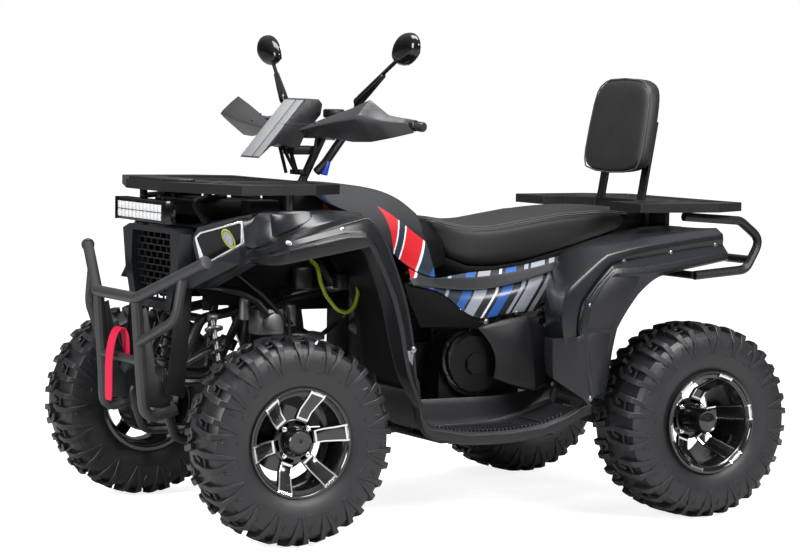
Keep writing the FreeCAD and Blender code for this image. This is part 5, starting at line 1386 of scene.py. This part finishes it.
eye = oval([(0, 0.2), (0, 21), (3.2, 21), (3.6, 17), (1.5, 13), (2.6, 0.2)])
eye_ring = oval([(0, 21.5), (0, 29), (3.4, 29), (4, 27), (3.4, 24.5)])
dressed(both(housing, lens), "headlamp_pair", "chassis", lens_dark, ["headlights"])
dressed(both(border), "headlamp_borders", "chassis", lamp_silver)
dressed(both(eye), "headlamp_eyes", "chassis", glass_pale)
dressed(both(eye_ring), "headlamp_rings", "chassis", lamp_yellow)

# %% [markdown]
# ## Dark parts behind the gaps
# Between the covers of the real machine there is always some dark part to be seen, never daylight.
# Plain rounded boxes and pipes are enough there, as they stay in the shade; under the racks they paint that
# shade too.

# %% Boxes and a pipe in the engine bay
front_case = brick((126, -72, 346), (292, 72, 640), 12)
header_pipe = pipe([(210, 60, 470), (236, 96, 460), (236, 110, 410), (190, 112, 372), (120, 112, 366)], 15,
                   45, 16)
dressed([front_case, header_pipe], "engine_front", "chassis", engine_black)
bulkheads = [brick((262, -84, 560), (540, -64, 800), 6), brick((150, 112, 640), (262, 140, 730), 6)]
dressed(bulkheads, "bay_bulkheads", "chassis", matt_black)

# %% Parts and painted shade under the racks
# Matt black boxes and pipes stand for the dark brackets here and also paint the shade that falls under the
# racks, over the hood top.
under = [brick((600, -150, 836), (790, 150, 880), 8), brick((560, -60, 850), (600, 60, 890), 6),
         brick((372, -70, 846), (500, 70, 902), 10), brick((-736, -120, 765), (-492, 120, 836), 8)]
for y in (-250, 250):
    under.append(brick((610, y - 30, 846), (700, y + 30, 886), 6))
    under.append(pipe([(790, y * 0.8, 820), (820, y * 0.7, 880), (700, y * 0.5, 892)], 8, 20, 12))
dressed(under, "rack_underparts_and_shade", "chassis", matt_black)

# %% [markdown]
# ## Lamp bar and tail lamps
# The bar is a slim box with cooling ribs and two rows of square cells, each with a small raised
# lens. The tail lamps are red blocks with upright ribs. Boxes with soft edges give both.

# %% Lamp bar
bar_box = [brick((862, -163, 819), (896, 163, 876), 2.5)]
for sign in (1, -1):
    bar_box.append(brick((861, min(163 * sign, 166 * sign), 818), (899, max(163 * sign, 166 * sign), 880),
                         0.8))
    bar_box.append(brick((852, sign * 60 - 12, 874), (866, sign * 60 + 12, 903.5), 1.5))
    bar_box.append(drum((880, 165 * sign, 849), (880, 165.9 * sign, 849), 7, 24))
for k in range(9):
    bar_box.append(brick((862 + k * 3.6, -160, 876), (863.6 + k * 3.6, 160, 879.8)))
dressed(bar_box, "lamp_bar_box", "chassis", cover_black, ["light_bar"])
cells = []
for row in range(2):
    for col in range(12):
        y = -146.5 + col * 24.7
        z = 827 + row * 22
        cells.append(brick((896, y, z), (898.6, y + 22, z + 20), 2.0))
        cells.append(turned_along([(0, 0.2), (0, 7), (1.4, 6), (2.2, 0.2)], (898.4, y + 11, z + 10),
                                  (910, y + 11, z + 10), 16))
led_white = finish("led_white", (0.78, 0.80, 0.82), 0.12, coat=0.8, mottle=0.03)
dressed(cells, "lamp_bar_cells", "chassis", led_white)

# %% Tail lamps
red_lens = finish("red_lens", (0.42, 0.008, 0.010), 0.10, coat=1.0, mottle=0.05)
lamp_ribs = [brick((-703.5, 352.5, 742.5), (-684.5, 439.5, 794.5), 4)]
for k in range(7):
    lamp_ribs.append(brick((-703.9, 358 + k * 11.5, 748), (-702, 364 + k * 11.5, 789), 0.8))
dressed(both(*lamp_ribs), "tail_lamp_pair", "chassis", red_lens, ["tail_lights"])

# %% [markdown]
# ## Backrest and strap
# The backrest is a foam pad with piping round its face, lofted through shrunken copies of one
# outline. The strap is flat webbing sewn into a loop round the bumper: a sheet laid along the
# side view of the loop, thickened at the end, with a woven bump in its material.

# %% Backrest
def backrest_sections():
    outline = [(-140, 960), (-152, 984), (-156, 1010), (-155, 1080), (-150, 1150), (-142, 1186), (-128, 1206),
               (-105, 1219), (-80, 1226), (0, 1230), (80, 1226), (105, 1219), (128, 1206), (142, 1186),
               (150, 1150), (155, 1080), (156, 1010), (152, 984), (140, 960), (80, 949), (0, 946), (-80, 949)]
    sections = []
    for depth, shrink in ((1, 0.55), (0.5, 0.86), (9, 0.975), (20, 0.99), (42, 0.99), (56, 0.94), (59, 0.6)):
        ring = []
        for y, z in outline:
            high = 1088 + (z - 1088) * shrink
            ring.append((-604 - depth - (high - 960) * 0.18, y * shrink, high))
        sections.append(ring)
    return sections


pad = subdivided(loft(backrest_sections()), 1)
dressed(pad, "backrest_cushion", "chassis", vinyl, ["backrest_pad"], 60)
edge_ring = backrest_sections()[2]
piping = pipe(edge_ring + edge_ring[:2], 2.4, 12, 8)
dressed(piping, "backrest_piping", "chassis", thread)

# %% Tow strap
def webbing_finish():
    paint = finish("red_webbing", (0.72, 0.010, 0.065), 0.62, grain=0.9, grain_scale=1500, specular=0.3)
    tree = paint.node_tree
    weave = add_node(tree, "TexWave", {"Vector": first_node(tree, "TEX_COORD").outputs["Object"],
                                       "Scale": 160, "Distortion": 1.5}, bands_direction="DIAGONAL")
    bump = first_node(tree, "BUMP")
    bump.inputs["Strength"].default_value = 0.8
    tree.links.new(weave.outputs["Fac"], bump.inputs["Height"])
    return paint


webbing = webbing_finish()
STRAP_LINE = [(932, 441), (931.5, 470), (932.5, 500), (937.5, 521), (944.5, 531), (950.5, 533.5),
              (956.5, 531), (963, 521), (968.5, 500), (971.5, 476), (972.5, 452), (971.5, 420), (969, 376),
              (967, 331)]
strap_rows = [[(x, y - 5 * max(i - 6, 0), z) for y in (-24, -12, 0.5, 12, 24)]
              for i, (x, z) in enumerate(STRAP_LINE)]
strap = subdivided(sheet_of(strap_rows), 2)
modify(strap, "SOLIDIFY", thickness=0.003, offset=0)
bevelled(strap, 0.9, 50)
dressed(strap, "strap_loop", "chassis", webbing, ["tow_strap"], 50)

# %% [markdown]
# ## Engine side
# The round cover of the drive is the engine's most visible part: gloss black with radial ribs.
# Its outline is spun like work on a lathe; one rib is a box, copied round the middle. Behind it
# stand the cylinder's cooling fins.

# %% Round cover
COVER_X, COVER_Z = -25, 432
cover = turned([(126, 0.5), (126, 88), (199, 89), (202, 86), (203, 78), (212, 77), (214.5, 74), (214, 60),
                (210, 58), (210, 30), (213, 27), (214.5, 24), (214.5, 0.5)], 96, (COVER_X, 0, COVER_Z))
COVER_RIBS, COVER_BOLTS, BOLT_CIRCLE = 12, 6, 83
ribs = []
for k in range(COVER_RIBS):
    angle = math.tau * k / COVER_RIBS
    rib = brick((34, 209, -2), (73, 214, 2), 0.8)
    rib.data.transform(Matrix.Translation(point((COVER_X, 0, COVER_Z))) @ Matrix.Rotation(angle, 4, "Y"))
    ribs.append(rib)
for k in range(COVER_BOLTS):
    angle = math.tau * (k + 0.5) / COVER_BOLTS
    x, z = COVER_X + BOLT_CIRCLE * math.cos(angle), COVER_Z + BOLT_CIRCLE * math.sin(angle)
    ribs.append(drum((x, 200, z), (x, 207, z), 4.5, 6, 0.8))
dressed([cover] + ribs, "drive_cover", "chassis", cover_black)

# %% Cooling fins
fins = [brick((12, -70, z), (158, 70, z + 4), 0.8) for z in range(478, 598, 15)]
dressed(fins, "cylinder_fins", "chassis", engine_black)

# %% [markdown]
# ## Small parts
# Bolts hold the panels, and the engine bay is full of hoses, looms, bottles and castings. They are
# small, so pipes, drums and boxes are enough, placed where the photograph shows something.

# %% Bolts
def bolt(place, out, radius=6.0, height=3.0):
    place, out = Vector(place), Vector(out).normalized()
    return [drum(place - out * 1.5, place + out * 0.8, radius * 1.35, 24, 0.4),
            drum(place, place + out * height, radius, 6, 0.9)]


bolts = []
for place, out in (((692, 500, 786), (0.1, 0.7, 0.7)), ((546, 521, 822), (0, 0.7, 0.7)),
                   ((424, 524, 750), (-0.2, 0.9, 0.2)), ((330, 520, 500), (0, 1, 0)),
                   ((-342, 496, 724), (0, 1, 0.1)), ((-498, 496, 744), (0, 1, 0.1)),
                   ((-648, 496, 764), (0, 1, 0.1)), ((-226, 509, 603), (0, 1, 0)),
                   ((-236, 505, 345), (0, 1, 0)), ((-56, 240, 540), (0, 1, 0)), ((-155, 240, 562), (0, 1, 0)),
                   ((-226, 240, 563), (0, 1, 0))):
    bolts += both(*bolt(place, out))
dressed(bolts, "panel_bolts", "chassis", bolt_steel)

# %% Hoses and looms
hose_green = finish("hose_green", (0.42, 0.52, 0.02), 0.35, mottle=0.08)
conduit_black = finish("conduit_black", (0.010, 0.010, 0.011), 0.45)
loop = pipe([(471, 190, 716), (471, 230, 705), (463, 232, 661), (446, 234, 624), (412, 236, 584),
             (380, 236, 575), (358, 234, 592), (347, 232, 630), (348, 228, 655), (350, 190, 668)], 5.6, 40,
            12, 6)
dressed(loop, "hose_loop", "chassis", hose_green)
looms = []
CONDUIT_LINE = [(790, 170, 655), (746, 230, 649), (697, 236, 636), (654, 236, 614), (623, 230, 583),
                (608, 200, 540)]
for line, radius in ((CONDUIT_LINE, 8.0),
                     ([(560, 165, 640), (556, 220, 600), (545, 225, 500), (560, 160, 420)], 5.0),
                     ([(700, 167, 700), (640, 215, 640), (560, 215, 560), (470, 167, 520)], 6.0),
                     ([(330, 120, 560), (400, 150, 520), (470, 140, 470)], 7.0)):
    looms.append(pipe(line, radius, 50, 12, 6))
for k in range(40):
    leg, share = divmod(3 * k / 39, 1)
    before, after = CONDUIT_LINE[1 + int(leg)], CONDUIT_LINE[2 + int(leg)]
    spot = Vector(before).lerp(Vector(after), share)
    looms.append(turned_along([(-1.2, 7.5), (-1.2, 10), (1.2, 10), (1.2, 7.5)], spot,
                              spot + Vector((-40, 3, -24)), 20))
dressed(looms, "wiring_looms", "chassis", conduit_black)
bay_parts = [brick((372, 196, 640), (412, 236, 684), 8), brick((470, 168, 640), (520, 200, 700), 6)]
dressed(bay_parts, "bay_bottles", "chassis", guard_grey)
metal_parts = [brick((560, 150, 520), (640, 215, 590), 6), drum((600, 215, 556), (600, 236, 556), 24, 32, 3),
               brick((520, 140, 540), (556, 205, 600), 5), drum((665, 180, 560), (665, 180, 620), 14, 24, 2),
               brick((430, 130, 500), (540, 200, 520), 3), drum((250, 60, 520), (250, 200, 520), 40, 32, 4)]
dressed(metal_parts, "bay_castings", "chassis", dull_alloy)
